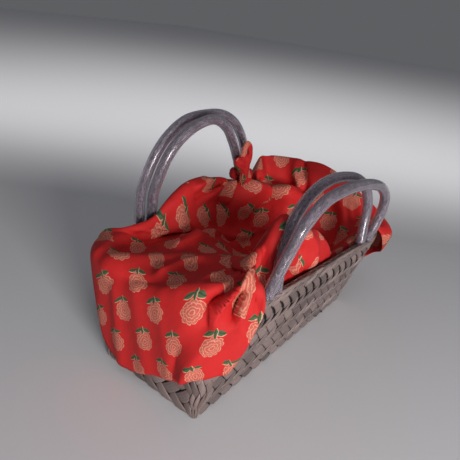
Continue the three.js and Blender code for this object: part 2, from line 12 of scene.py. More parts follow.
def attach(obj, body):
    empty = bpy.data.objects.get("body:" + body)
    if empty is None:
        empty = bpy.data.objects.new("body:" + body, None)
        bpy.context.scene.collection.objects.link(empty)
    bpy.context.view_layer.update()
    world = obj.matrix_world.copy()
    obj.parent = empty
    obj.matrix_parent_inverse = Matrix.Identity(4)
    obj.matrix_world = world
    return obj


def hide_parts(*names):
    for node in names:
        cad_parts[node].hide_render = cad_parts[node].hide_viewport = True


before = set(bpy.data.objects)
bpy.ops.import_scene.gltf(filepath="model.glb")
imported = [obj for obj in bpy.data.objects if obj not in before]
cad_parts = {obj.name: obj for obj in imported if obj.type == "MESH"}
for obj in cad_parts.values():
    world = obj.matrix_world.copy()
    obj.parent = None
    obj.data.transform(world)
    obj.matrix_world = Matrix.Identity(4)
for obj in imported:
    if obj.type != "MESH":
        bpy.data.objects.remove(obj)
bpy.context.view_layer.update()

MM = 0.001
TURN = 2 * math.pi
rng = np.random.default_rng(7)

# Basket sizes
HEIGHT = 95.5
BASE_HALF_LENGTH = 125
BASE_NEAR = 57
BASE_NEAR_FAR_END = 43
BASE_FAR = 47
BASE_RADIUS = 4
RIM_NEAR_END = 133.5
RIM_FAR_END = 135.5
RIM_HALF_WIDTH = 75
RIM_RADIUS = 40
WALL = 5
FLOOR = 3
ARC_SHARE = 0.3

# Plaiting: bands at 45 degrees, two over and two under
BANDS_ROUND = 60
SLIT_X = -70.4
ROWS = 8
BORDER_ROWS = 2
SLIT_ROW = 2

# Handle sizes
TUBE_RADIUS = 4.6
BORE = 3.5
CORE_RADIUS = 3.1
FOOT_INSET = 2.4
FOOT_GAP = 1
TUBE_STEPS = 150
TUBE_SIDES = 28

# The centre line of each tube, from its left foot to its right one
ROUTES = {
    "near_front": {
        "feet": (-81, 81),
        "side": -1,
        "points": [
            (-77, -75.5, 113), (-69.5, -78, 131), (-62, -81, 149), (-43, -83.5, 164.5), (-20, -84.5, 168.5),
            (8, -84, 167.5), (38, -83, 163), (66, -81, 154), (85, -79, 141.5), (92, -77, 127),
            (89.5, -75, 111),
        ],
    },
    "near_back": {
        "feet": (-69.5, 69.5),
        "side": -1,
        "points": [
            (-66, -70.5, 113), (-61, -69, 130), (-53, -67.5, 147.5), (-42, -66.8, 157), (-25, -66, 165),
            (-4, -65.6, 168.5), (21, -65.8, 167), (46, -66.3, 161), (66, -67.5, 149), (75, -69, 130),
            (73, -70.5, 111),
        ],
    },
    "far_front": {
        "feet": (-60.5, 62),
        "side": 1,
        "points": [
            (-64, 66, 113), (-68, 61, 129), (-66.5, 57, 146), (-60.5, 54.5, 163), (-50, 52, 177),
            (-35, 49.8, 187), (-14, 49, 191), (6, 50.5, 182), (21, 54, 168), (36, 58.5, 151), (51, 64, 130),
        ],
    },
    "far_back": {
        "feet": (-71.5, 73.5),
        "side": 1,
        "points": [
            (-72.5, 72, 113), (-72.5, 70.5, 131), (-68.5, 69, 146), (-61.5, 67.5, 162), (-50, 66.5, 176),
            (-32, 65.8, 187.5), (-8, 65.4, 191), (16, 65.5, 189.5), (36, 66.3, 181), (52, 67.4, 166),
            (64, 68.8, 146), (70, 70.3, 124),
        ],
    },
}

# Cloth sections, anticlockwise round the rim from the near left handle foot.
# place: place along the rim. inset and top: how far inside the rim's edge its ridge lies, and its height.
# out and hem: how far outside the rim's edge the hem lies (inside if negative), and its height.
# lean: how much further along the rim the hem lies than the ridge.
# shelf, middle, deep: height of the inside at three shares of the way to the bowl's lowest point.
COLUMNS = ("place", "inset", "top", "out", "lean", "hem", "shelf", "middle", "deep")
SECTIONS = [
    (0.035, 21, 117, -17, 0, 98, 103, 94, 66),
    (0.09, 20, 123, -13, 0, 92, 102, 92, 64),
    (0.12, 19, 136, -11, 0, 91, 106, 93, 63),
    (0.15, 18, 144, -10, 0, 90, 112, 91, 62),
    (0.215, 17, 140, -9, 0, 90, 112, 90, 62),
    (0.28, 15, 128, -9, 0, 90, 108, 86, 60),
    (0.34, 14, 124, -9, 0, 90, 104, 80, 58),
    (0.42, 13, 108, -9, 0, 88, 86, 74, 58),
    (0.47, 13, 94, -9, 0, 86, 78, 72, 58),
    (0.55, 13, 91, -9, 0, 82, 74, 72, 58),
    (0.66, 12, 98, -9, 0, 92, 80, 74, 58),
    (0.7, 9, 103, -8, 0, 100, 84, 76, 59),
    (0.74, 3, 105, 1, 0, 101, 89, 78, 60),
    (0.8, -4, 103, 14, 0, 75, 94, 80, 61),
    (0.89, -6, 107, 19, 0, 60, 98, 84, 62),
    (1.0, -1, 120, 18, 0, 36, 106, 90, 64),
    (1.2, 4, 133, 12, 0, 34, 110, 94, 66),
    (1.45, 8, 141, 10, 0, 34, 112, 100, 70),
    (1.68, 8, 139, 8, 0, 40, 110, 102, 72),
    (1.85, 3, 137, 6, 0, 50, 108, 102, 72),
    (1.97, 3, 138, 6, 0, 66, 106, 100, 70),
    (2.02, 8, 131, 1, 0, 103, 106, 98, 68),
    (2.085, 18, 114, -14, 0, 102, 100, 86, 62),
    (2.145, 20, 119, -15, 0, 104, 102, 78, 60),
    (2.21, 16, 124, -12, 0, 104, 105, 76, 58),
    (2.28, 13, 128, -10, 0, 105, 107, 76, 58),
    (2.37, 12, 131, -9, 0, 106, 108, 76, 58),
    (2.45, 13, 130, -10, 0, 106, 108, 78, 60),
    (2.54, 17, 121, -14, 0, 103, 104, 82, 62),
    (2.62, 19, 109, -16, 0, 99, 98, 86, 64),
    (2.69, 15, 105, -11, 0, 98, 98, 87, 66),
    (2.76, 4, 100.6, 3, 0, 98, 97, 92, 72),
    (2.84, 1, 99.6, 4.5, 0, 70, 97, 94, 74),
    (2.94, 1, 99.4, 5, 0, 40, 97, 95, 76),
    (3.05, 1, 99.4, 5, 0, 17, 97, 95.5, 76),
    (3.25, 1.5, 99.8, 5.5, 0, 11, 98, 95.5, 74),
    (3.45, 2, 101, 5, 0, 22.5, 98, 95.5, 70),
    (3.62, 3, 105.5, 5, 0, 30, 100, 96, 68),
    (3.76, 4, 111, 5, 0, 39.5, 103, 96, 66),
    (3.87, 5, 114, 5, 0.01, 44.5, 105, 96, 66),
    (3.93, 6, 115, 4, 0.025, 48, 106, 96, 66),
    (3.965, 8, 116, 4, 0.04, 53, 106, 96, 66),
    (3.99, 13, 116, 1.6, 0.005, 101.5, 105, 96, 66),
]
CLOTH_THICKNESS = 0.7
SHELF_STEP = 12
BOWL = (46, 34, 52)
SHELF_SHARE = 0.12
MIDDLE_SHARE = 0.45
DEEP_SHARE = 0.75
RIDGE_AT = 3 / 7
SHELF_AT = 4 / 7
EDGE_BLEND = 4
RIDGE_FOLD_SHARE = 0.3
ROWS_PER_SECTION = 9
PROFILE_STEPS = 77

# Folds inside the bowl, in plan: from, via, to, width and height of each soft ridge, or trough if negative
INNER_FOLDS = [
    ((-66, 26), (-12, 20), (56, 2), 6, 5),
    ((-20, -44), (30, -30), (80, -6), 12, 9),
    ((84, 8), (98, 24), (96, 50), 12, 8),
    ((-34, -14), (-4, -12), (18, -2), 8, -9),
    ((46, -46), (76, -44), (104, -18), 15, -8),
    ((98, 64), (112, 48), (124, 24), 7, -9),
    ((56, 54), (40, 46), (26, 36), 5, 5),
    ((46, 58), (20, 54), (-14, 44), 6, 5),
    ((44, 63), (10, 63), (-24, 60), 4, -5),
]

# Folds of the outside, along the rim: place, lean towards the hem, width and height
OUTER_FOLDS = [
    (4.03, -0.1, 0.025, 4),
    (3.975, -0.24, 0.03, 4),
    (3.93, -0.3, 0.03, -2),
    (3.8, -0.06, 0.05, 1),
    (3.6, 0.03, 0.06, 1.4),
    (3.35, 0.05, 0.06, 1.8),
    (3.14, 0.04, 0.05, 2.5),
]

# The knot round the right legs of the far handle
KNOT_PLACE = (60.5, 67, 125)
KNOT_HALF_LONG = 19.5
KNOT_HALF_SHORT = 8.2
KNOT_TURN = 18
KNOT_TILT = 10
KNOT_HALF_HEIGHT = 5.2
KNOT_HALF_DEPTH = 2.6
STRANDS = {
    "neck": {
        "wide": 6, "deep": 4.5, "pleats": 5, "twist": 0.6,
        "points": [
            (68, 54, 106), (61, 54, 112), (54, 52, 119), (46, 50, 129), (37, 47.5, 139), (28, 46, 146),
            (21, 46, 150),
        ],
    },
    "cross": {
        "wide": 5, "deep": 3.8, "pleats": 4, "twist": 1.2,
        "points": [(50, 55, 116), (43, 51, 125), (37, 46, 136), (36, 45, 146), (38, 46, 154)],
    },
    "loop": {
        "wide": 3.2, "deep": 2.4, "pleats": 3, "twist": 1.5,
        "points": [
            (35, 45, 144), (31, 45, 152), (32, 46, 160), (37, 47, 164), (42, 47, 159), (43, 47, 149),
            (41, 48, 137),
        ],
    },
}

# The print: blooms stand in rows, each row half a step along from the last
PRINT_STEP = 37
PRINT_ROW = 25
BLOOM_AT = 0.4

# Where some blooms are seen in the photograph, read in pixels. Blooms of a row stand one step apart.
# up is the row's place in the print, in rows, and along is that of its first bloom here, in steps.
BLOOM_ROWS = [
    {"up": 0, "along": 0.5, "pixels": [(115, 285), (147, 285), (182, 284), (222, 289)]},
    {"up": -1, "along": 1, "pixels": [(122, 310), (160, 311), (196, 312), (235, 312)]},
    {"up": -2, "along": 0.5, "pixels": [(119, 338), (143, 344), (175, 348), (204, 348), (233, 360)]},
    {"up": -3, "along": 2, "pixels": [(160, 370), (198, 375)]},
    {"up": 1, "along": 0, "pixels": [(100, 265), (131, 265), (157, 265), (181, 264), (209, 267)]},
    {"up": 2, "along": 0.5, "pixels": [(113, 242), (142, 240), (168, 241)]},
    {"up": 3, "along": 2, "pixels": [(159, 214)]},
    {"up": 4, "along": 2.5, "pixels": [(178, 193)]},
]
PIN_WEIGHT = 1.6

# Creases of the cloth: soft ridges, or troughs if the height is negative. An edge drops on one side.
# Their lines are places in the photograph, read in pixels, which the script finds on the cloth.
CREASES = [
    {"name": "pocket", "width": 6, "height": 18, "edge": True,
     "pixels": [(249, 276), (238, 286), (227, 295), (219, 303), (214, 311), (212, 318)]},
    {"name": "second pocket", "width": 4, "height": 12, "edge": True,
     "pixels": [(243, 297), (239, 306), (236, 318)]},
    {"name": "strip edge", "width": 4, "height": 4,
     "pixels": [(256, 290), (249, 303), (244, 316)]},
    {"name": "lower trough", "width": 3.5, "height": -5,
     "pixels": [(251, 300), (247, 312), (243, 326)]},
    {"name": "turn", "width": 5, "height": -2.5,
     "pixels": [(112, 279), (145, 280), (185, 279), (222, 279)]},
    {"name": "puff", "width": 11, "height": 5,
     "pixels": [(112, 262), (140, 261), (175, 261), (205, 262), (228, 262)]},
    {"name": "puff edge", "width": 4, "height": 5,
     "pixels": [(162, 274), (182, 268), (200, 266)]},
    {"name": "line below", "width": 2.5, "height": 3.5,
     "pixels": [(199, 280), (215, 277), (226, 274)]},
    {"name": "band gap", "width": 5, "height": -6, "edge": True,
     "pixels": [(261, 256), (255, 266), (249, 278)]},
    {"name": "band", "width": 5, "height": 5,
     "pixels": [(264, 285), (266, 270), (270, 252), (277, 236), (286, 222)]},
    {"name": "left hollow", "width": 13, "height": -6,
     "pixels": [(128, 246), (150, 236), (172, 222)]},
    {"name": "left ridge", "width": 7, "height": 4,
     "pixels": [(100, 252), (122, 238), (143, 226), (168, 208), (188, 190), (205, 183)]},
    {"name": "upper pleat", "width": 3, "height": 6,
     "pixels": [(230, 181), (220, 181), (206, 184), (196, 189)]},
    {"name": "pleat trough", "width": 3, "height": -8,
     "pixels": [(230, 181), (218, 184), (206, 189), (198, 195)]},
    {"name": "lower pleat", "width": 3, "height": 6,
     "pixels": [(229, 184), (220, 188), (212, 195)]},
    {"name": "gather drop", "width": 3, "height": 7,
     "pixels": [(232, 184), (231, 192), (230, 202)]},
    {"name": "gather trough", "width": 3.5, "height": -10,
     "pixels": [(226, 184), (226, 196), (224, 208)]},
    {"name": "roll top", "width": 4, "height": -12,
     "pixels": [(252, 182), (265, 181), (285, 183), (303, 187)]},
    {"name": "roll", "width": 8, "height": 14,
     "pixels": [(250, 190), (268, 194), (288, 195)]},
    {"name": "roll bottom", "width": 7, "height": -12,
     "pixels": [(255, 212), (270, 217), (288, 215), (299, 208)]},
    {"name": "back fold", "width": 4, "height": -7,
     "pixels": [(302, 164), (303, 175), (306, 190)]},
    {"name": "back ridge", "width": 6, "height": 5,
     "pixels": [(297, 166), (298, 176), (300, 186)]},
    {"name": "back fold left", "width": 6, "height": -5,
     "pixels": [(268, 160), (270, 172)]},
    {"name": "right trough", "width": 7, "height": -7,
     "pixels": [(330, 205), (333, 222), (330, 238)]},
    {"name": "right ridge", "width": 6, "height": 7,
     "pixels": [(342, 200), (345, 216), (343, 232)]},
    {"name": "right end trough", "width": 5, "height": -7,
     "pixels": [(352, 205), (354, 222)]},
    {"name": "bundle slit", "width": 3, "height": -14,
     "pixels": [(285, 268), (291, 272), (297, 270)]},
    {"name": "bundle side", "width": 6, "height": 5,
     "pixels": [(306, 235), (313, 246), (312, 260)]},
    {"name": "bundle trough", "width": 4, "height": -7,
     "pixels": [(300, 240), (303, 254), (300, 266)]},
    {"name": "bowl ridge", "width": 5, "height": 6,
     "pixels": [(178, 248), (192, 239), (210, 234), (231, 236), (252, 233), (270, 226)]},
    {"name": "bowl hollow", "width": 13, "height": -7,
     "pixels": [(196, 214), (214, 206), (230, 204)]},
]

# Camera, fitted to the basket's rim and base in the photograph
CAMERA_PLACE = (-343.09, -227.44, 275.45)
CAMERA_TARGET = (-12.15, 17.64, 97.23)
CAMERA_ROLL = 7.74
CAMERA_LENS = 38.77
SENSOR_WIDTH = 36
PHOTO_PIXELS = 460


def lerp(a, b, t):
    return a + (b - a) * t


def unit(v):
    return v / np.maximum(np.linalg.norm(v, axis=-1, keepdims=True), 1e-12)


def smooth(t):
    t = np.clip(t, 0, 1)
    return t * t * (3 - 2 * t)


# Meshes

def make_mesh(name, points, faces, material, smooth_shaded=True, uv=None, values=None):
    """A mesh object from points in millimetres. uv has one pair a point, values one number a point."""
    mesh = bpy.data.meshes.new(name)
    mesh.from_pydata((np.asarray(points) * MM).tolist(), [], [tuple(f) for f in faces])
    mesh.polygons.foreach_set("use_smooth", [smooth_shaded] * len(mesh.polygons))
    if uv is not None:
        corner = np.zeros(len(mesh.loops), dtype=np.int32)
        mesh.loops.foreach_get("vertex_index", corner)
        layer = mesh.uv_layers.new(name="flat")
        layer.data.foreach_set("uv", np.asarray(uv, dtype=np.float32)[corner].ravel())
    for key, numbers in (values or {}).items():
        layer = mesh.attributes.new(key, "FLOAT", "POINT")
        layer.data.foreach_set("value", np.asarray(numbers, dtype=np.float32))
    mesh.materials.append(material)
    piece = bpy.data.objects.new(name, mesh)
    bpy.context.scene.collection.objects.link(piece)
    return piece


class Batch:
    """Collects patches that become one joined mesh."""

    def __init__(self):
        self.points = []
        self.faces = []
        self.uv = []
        self.tone = []
        self.count = 0

    def add(self, points, faces, uv, tone):
        self.points.append(points)
        self.faces.append(np.asarray(faces) + self.count)
        self.uv.append(uv)
        self.tone.append(np.full(len(points), tone))
        self.count += len(points)

    def build(self, name, material, smooth_shaded=True):
        faces = [tuple(f) for block in self.faces for f in block]
        return make_mesh(
            name, np.concatenate(self.points), faces, material, smooth_shaded,
            uv=np.concatenate(self.uv), values={"tone": np.concatenate(self.tone)},
        )


def grid_faces(rows, columns, wrap_rows=False, wrap_columns=False):
    """Quads of a grid of points that is stored row by row"""
    i = np.arange(rows if wrap_rows else rows - 1)
    j = np.arange(columns if wrap_columns else columns - 1)
    i, j = np.meshgrid(i, j, indexing="ij")
    i2 = (i + 1) % rows
    j2 = (j + 1) % columns
    quads = np.stack([i * columns + j, i * columns + j2, i2 * columns + j2, i2 * columns + j], -1)
    return quads.reshape(-1, 4)


# Basket outline

def corners(z):
    """The four corners of the basket's outline at heights z, anticlockwise from the near left one"""
    t = z / HEIGHT
    far = lerp(BASE_FAR, RIM_HALF_WIDTH, t)
    near = lerp(BASE_NEAR, RIM_HALF_WIDTH, t)
    near_far_end = lerp(BASE_NEAR_FAR_END, RIM_HALF_WIDTH, t)
    near_end = lerp(BASE_HALF_LENGTH, RIM_NEAR_END, t)
    far_end = lerp(BASE_HALF_LENGTH, RIM_FAR_END, t)
    xs = np.stack([-near_end, far_end, far_end, -near_end], -1)
    ys = np.stack([-near, -near_far_end, far, far], -1)
    return np.stack([xs, ys], -1)


def outline(place, z, outward=0.0):
    """Points of the basket's outline and the level directions out of it. A place has one unit a side."""
    place, z, outward = np.broadcast_arrays(np.asarray(place, float), np.asarray(z, float), outward)
    at = place % 4
    side = np.floor(at).astype(int)
    along = at - side
    c = corners(z)

    def corner(k):
        return np.take_along_axis(c, ((side + k) % 4)[..., None, None], axis=-2)[..., 0, :]

    radius = lerp(BASE_RADIUS, RIM_RADIUS, np.maximum(0, z) / HEIGHT)[..., None]
    start, end, after = corner(0), corner(1), corner(2)
    ahead = unit(end - start)
    normal = np.stack([ahead[..., 1], -ahead[..., 0]], -1)
    turned = unit(after - end)
    next_normal = np.stack([turned[..., 1], -turned[..., 0]], -1)
    straight = 1 - ARC_SHARE
    flat = lerp(start + ahead * radius, end - ahead * radius, np.minimum(along / straight, 1)[..., None])
    angle = (np.maximum(along - straight, 0) / ARC_SHARE * math.pi / 2)[..., None]
    arc_normal = unit(normal * np.cos(angle) + next_normal * np.sin(angle))
    arc = end - ahead * radius + turned * radius + arc_normal * radius
    on_arc = (along >= straight)[..., None]
    out = np.where(on_arc, arc_normal, normal)
    point = np.where(on_arc, arc, flat) + out * outward[..., None]
    return (
        np.concatenate([point, z[..., None]], -1),
        np.concatenate([out, np.zeros_like(z)[..., None]], -1),
    )


# Lengths round the outline at the height where the bands are measured
BAND_HEIGHT = 64
PLACE_SAMPLES = np.linspace(0, 4, 1601)
RING = outline(PLACE_SAMPLES, BAND_HEIGHT)[0]
RING_LENGTHS = np.concatenate([[0], np.cumsum(np.linalg.norm(np.diff(RING, axis=0), axis=1))])
ROUND = RING_LENGTHS[-1]
STEP = ROUND / BANDS_ROUND
BAND_WIDTH = STEP / math.sqrt(2)
ROW_HEIGHT = STEP


def place_at(length):
    """The place at a length round the basket"""
    length = np.asarray(length, float)
    turns = np.floor(length / ROUND)
    return 4 * turns + np.interp(length - turns * ROUND, RING_LENGTHS, PLACE_SAMPLES)


def length_at(place):
    return np.interp(place, PLACE_SAMPLES, RING_LENGTHS)


# Basket

FLOAT_ALONG = np.array([-1, -0.82, -0.45, 0, 0.45, 0.82, 1])
FLOAT_ACROSS = np.array([-1, -1, -0.8, 0, 0.8, 1, 1])
FLOAT_DROP = np.array([1.3, 0.34, 0.06, -0.08, 0.06, 0.34, 1.3])
FLOAT_FACES = grid_faces(len(FLOAT_ALONG), len(FLOAT_ACROSS))
FLOAT_BOW = 1.9
RIM_BEND = 2.2
RIM_BEND_LIFT = 0.35
LEAST_HEIGHT = 0.4
INSIDE_LOOK = (0.95, WALL - 0.6, 0.4)
INSIDE_DROP = 1

# The layer behind the bands, painted near black as shade in the gaps between them, up its outside and down
# its inside: height and how far outside the outline
BACKING_PROFILE = [
    (0.6, -3.0), (HEIGHT - 26, -3.0), (HEIGHT - 24, -2.0), (HEIGHT - 2.2, -2.0),
    (HEIGHT - 2.2, -3.6), (HEIGHT - 24, -3.6), (FLOOR, -3.8),
]
BACKING_PLACES = 240

# Folded edges on the rim. out is how far outside the outline, and shift how many bands along.
RIM_FOLDS = [
    {"out": -1.15, "half_width": 1.05, "top": 0.35, "shift": 0},
    {"out": -2.95, "half_width": 0.5, "top": -0.35, "shift": 0.3},
    {"out": -4.15, "half_width": 0.75, "top": 0.1, "shift": 0.5},
]
RIM_FOLD_LENGTH = 1.06
RIM_FOLD_DIP = 0.35
RIM_FOLD_RISE = 0.25
RIM_FOLD_SLOPE = 0.6
RIM_FOLD_FOOT = 4

# Underside: rows and bands counted from the middle, their width, margins and rise at the ends
BASE_ROWS = 5
BASE_BANDS = 11
BASE_BAND_SHARE = 0.47
BASE_END_MARGIN = 9
BASE_SIDE_MARGIN = 8
BASE_GAP = 0.05
BASE_BOW = 0.7


def band_float(batch, length, z, lean, width_share, level, lift, inside=False):
    """One float of a band: a domed strip at 45 degrees that goes under its neighbours at both ends"""
    along, across = np.meshgrid(FLOAT_ALONG, FLOAT_ACROSS, indexing="ij")
    drop = np.broadcast_to(FLOAT_DROP, along.shape)
    half_length = BAND_WIDTH
    half_width = BAND_WIDTH / 2 * width_share
    root = math.sqrt(0.5)
    s = length + (along * half_length * lean - across * half_width) * root
    h = z + (along * half_length + across * half_width * lean) * root
    height = level + lift * (1 - FLOAT_BOW * along ** 2) - drop
    over = np.maximum(0, h - (HEIGHT - RIM_BEND))
    angle = np.minimum(over / RIM_BEND, math.pi / 2)
    h = np.where(over > 0, HEIGHT - RIM_BEND + RIM_BEND * np.sin(angle) + RIM_BEND_LIFT * height, h)
    height = height - RIM_BEND * (1 - np.cos(angle))
    h = np.maximum(h, LEAST_HEIGHT)
    if inside:
        height = -height
    points, _ = outline(place_at(s), h, height)
    uv = np.stack([along * half_length, across * half_width], -1)
    batch.add(points.reshape(-1, 3), FLOAT_FACES, uv.reshape(-1, 2), rng.uniform(0, 1))


def rim_place(x):
    """The place on the near side's straight that is at x on the rim"""
    left, right = RIM_RADIUS - RIM_NEAR_END, RIM_FAR_END - RIM_RADIUS
    return (1 - ARC_SHARE) * (x - left) / (right - left)


def row_look(row):
    """Width share, level and lift of the floats in a row, counted from the rim"""
    if row < BORDER_ROWS:
        return 0.64, -0.35, 0.85
    if row == SLIT_ROW:
        return 0.5, -0.6, 0.9
    return 0.9, -1.5, 0.8


def weave_wall(material):
    """The outside of the basket"""
    batch = Batch()
    first = float(length_at(rim_place(SLIT_X)))
    for row in range(ROWS):
        width_share, level, lift = row_look(row)
        z = HEIGHT - (row + 0.5) * ROW_HEIGHT
        lean = 1 if row % 2 == 0 else -1
        shift = first if lean > 0 else first + STEP / 2
        for n in range(BANDS_ROUND):
            band_float(batch, shift + n * STEP, z, lean, width_share, level, lift)
    return batch.build("weave", material)


def weave_inside(material):
    """The inside of the wall, which shows above and beside the cloth"""
    batch = Batch()
    for row in range(ROWS - 1):
        z = HEIGHT - (row + 0.5) * ROW_HEIGHT - INSIDE_DROP
        lean = 1 if row % 2 == 0 else -1
        for n in range(BANDS_ROUND):
            band_float(batch, (n + 0.5 * (row % 2)) * STEP, z, lean, *INSIDE_LOOK, inside=True)
    return batch.build("weave_inside", material)


def shaded_backing(material):
    """The layer that closes the gaps between the bands, painted near black as the shade in those gaps"""
    places = np.linspace(0, 4, BACKING_PLACES, endpoint=False)
    rings = [outline(places, z, out)[0] for z, out in BACKING_PROFILE]
    points = np.concatenate(rings)
    count = len(places)
    faces = [tuple(f) for f in grid_faces(len(rings), count, wrap_columns=True)]
    faces.append(tuple(range(count))[::-1])
    faces.append(tuple(range((len(rings) - 1) * count, len(rings) * count)))
    tone = np.zeros(len(points))
    return make_mesh("shaded_backing", points, faces, material, False, uv=points[:, :2], values={"tone": tone})


def rim_folds(material):
    """The folded edges along the top of the rim: short lengths, each dipping under the next"""
    batch = Batch()
    angles = np.linspace(0, math.pi, 7)
    share = np.linspace(0, 1, 6)
    dip = RIM_FOLD_DIP * (1 - share) - RIM_FOLD_RISE * share
    for fold in RIM_FOLDS:
        out, half_width = fold["out"], fold["half_width"]
        for n in range(BANDS_ROUND):
            start = (n + fold["shift"]) * STEP
            s = start + share * STEP * RIM_FOLD_LENGTH
            rows = []
            for angle in angles:
                z = HEIGHT + fold["top"] - half_width + half_width * math.sin(angle) - dip * RIM_FOLD_SLOPE
                rows.append(outline(place_at(s), z, out + half_width * math.cos(angle))[0])
            foot = HEIGHT - RIM_FOLD_FOOT
            lower = [outline(place_at(s), foot, out + half_width * side)[0] for side in (1, -1)]
            points = np.stack([lower[0], *rows, lower[1]], 0)
            uv = np.stack(np.meshgrid(np.linspace(0, 3, len(points)), share * STEP, indexing="ij"), -1)
            faces = grid_faces(len(points), len(share))
            batch.add(points.reshape(-1, 3), faces, uv.reshape(-1, 2), rng.uniform(0, 1))
    return batch.build("rim_folds", material)


def weave_base(material):
    """The underside: the same plaiting laid flat"""
    batch = Batch()
    along, across = np.meshgrid(FLOAT_ALONG, FLOAT_ACROSS, indexing="ij")
    step = BAND_WIDTH * math.sqrt(2)
    root = math.sqrt(0.5)
    for row in range(-BASE_ROWS, BASE_ROWS + 1):
        lean = 1 if row % 2 == 0 else -1
        for n in range(-BASE_BANDS, BASE_BANDS + 1):
            x0 = (n + (0 if lean > 0 else 0.5)) * step
            y0 = row * step
            near = lerp(BASE_NEAR, BASE_NEAR_FAR_END, (x0 + BASE_HALF_LENGTH) / (2 * BASE_HALF_LENGTH))
            if abs(x0) > BASE_HALF_LENGTH - BASE_END_MARGIN:
                continue
            if y0 > BASE_FAR - BASE_SIDE_MARGIN or y0 < BASE_SIDE_MARGIN - near:
                continue
            x = x0 + (along * BAND_WIDTH * lean - across * BAND_WIDTH * BASE_BAND_SHARE) * root
            y = y0 + (along * BAND_WIDTH + across * BAND_WIDTH * BASE_BAND_SHARE * lean) * root
            z = BASE_GAP + BASE_BOW * along ** 2 + np.broadcast_to(FLOAT_DROP, along.shape) / 2
            points = np.stack([x, y, z], -1)
            uv = np.stack([along * BAND_WIDTH, across * BAND_WIDTH / 2], -1)
            batch.add(points.reshape(-1, 3), FLOAT_FACES[:, ::-1], uv.reshape(-1, 2), rng.uniform(0, 1))
    return batch.build("weave_base", material)


# Curves and sweeps

def catmull(points, t):
    """Centripetal curve through points, at shares t of its spans"""
    points = np.asarray(points, float)
    ends = [2 * points[0] - points[1], *points, 2 * points[-1] - points[-2]]
    p = np.array(ends)
    spans = len(points) - 1
    at = np.clip(np.asarray(t, float), 0, 1) * spans
    i = np.minimum(np.floor(at).astype(int), spans - 1)
    w = (at - i)[:, None]
    p0, p1, p2, p3 = p[i], p[i + 1], p[i + 2], p[i + 3]

    def gap(a, b):
        return np.maximum(np.linalg.norm(b - a, axis=1, keepdims=True), 1e-8) ** 0.5

    d0, d1, d2 = gap(p0, p1), gap(p1, p2), gap(p2, p3)
    m1 = ((p1 - p0) / d0 - (p2 - p0) / (d0 + d1) + (p2 - p1) / d1) * d1
    m2 = ((p2 - p1) / d1 - (p3 - p1) / (d1 + d2) + (p3 - p2) / d2) * d1
    w2, w3 = w ** 2, w ** 3
    return (2 * w3 - 3 * w2 + 1) * p1 + (w3 - 2 * w2 + w) * m1 + (3 * w2 - 2 * w3) * p2 + (w3 - w2) * m2


def even_curve(points, count):
    """The same curve at points an even length apart"""
    dense = catmull(points, np.linspace(0, 1, 600))
    lengths = np.concatenate([[0], np.cumsum(np.linalg.norm(np.diff(dense, axis=0), axis=1))])
    at = np.linspace(0, lengths[-1], count)
    return np.stack([np.interp(at, lengths, dense[:, k]) for k in range(3)], -1), lengths[-1]


def curve_axes(line, across=(0, 1, 0)):
    """Level and upright directions square to a line. The first stays as close as it can to across."""
    tangent = unit(np.gradient(line, axis=0))
    across = np.broadcast_to(np.asarray(across, float), line.shape)
    deep = unit(across - tangent * np.sum(across * tangent, -1, keepdims=True))
    return np.cross(deep, tangent), deep, tangent


def sweep(line, section, closed=True, axes=None):
    """Points of a section, given as (row, 2) or (line, row, 2), carried along a line"""
    wide, deep, _ = axes or curve_axes(line)
    section = np.broadcast_to(section, (len(line), *np.shape(section)[-2:]))
    return line[:, None] + section[..., :1] * wide[:, None] + section[..., 1:] * deep[:, None]


def circle(radius, sides, phase=0.0):
    angle = phase + TURN * np.arange(sides) / sides
    return np.stack([radius * np.cos(angle), radius * np.sin(angle)], -1)


# Handles

def foot_point(x, side, z):
    along = rim_place(x)
    place = along if side < 0 else 3 - ARC_SHARE - along
    return outline(place, z, -FOOT_INSET)[0]


def handle_line(route, count):
    start, end = (foot_point(x, route["side"], HEIGHT + FOOT_GAP) for x in route["feet"])
    return even_curve([start, *route["points"], end], count)


def tube(name, route, material):
    line, length = handle_line(route, TUBE_STEPS)
    outer = sweep(line, circle(TUBE_RADIUS, TUBE_SIDES))
    inner = sweep(line, circle(BORE, TUBE_SIDES))[::-1]
    points = np.concatenate([outer, inner])
    faces = grid_faces(len(points), TUBE_SIDES, wrap_rows=True, wrap_columns=True)
    around = np.arange(TUBE_SIDES) / TUBE_SIDES
    uv = np.stack(np.meshgrid(np.linspace(0, length, len(points)), around, indexing="ij"), -1)
    piece = make_mesh(f"vinyl_{name}", points.reshape(-1, 3), faces, material, uv=uv.reshape(-1, 2))
    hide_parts(f"tube_{name}")
    return piece


CORE_STEPS = 170
CORE_SIDES = 10
CORE_STRANDS = 3
CORE_PITCH = 21
CORE_FILLING = 1.0
CORE_SINK = 0.35
CORE_WEAVE = 0.25

# A strand's profile: angle from its middle line and how far it drops there
STRAND_PROFILE = ((-0.62, 0.45), (-0.45, 0.05), (0, 0), (0.45, 0.05), (0.62, 0.45))


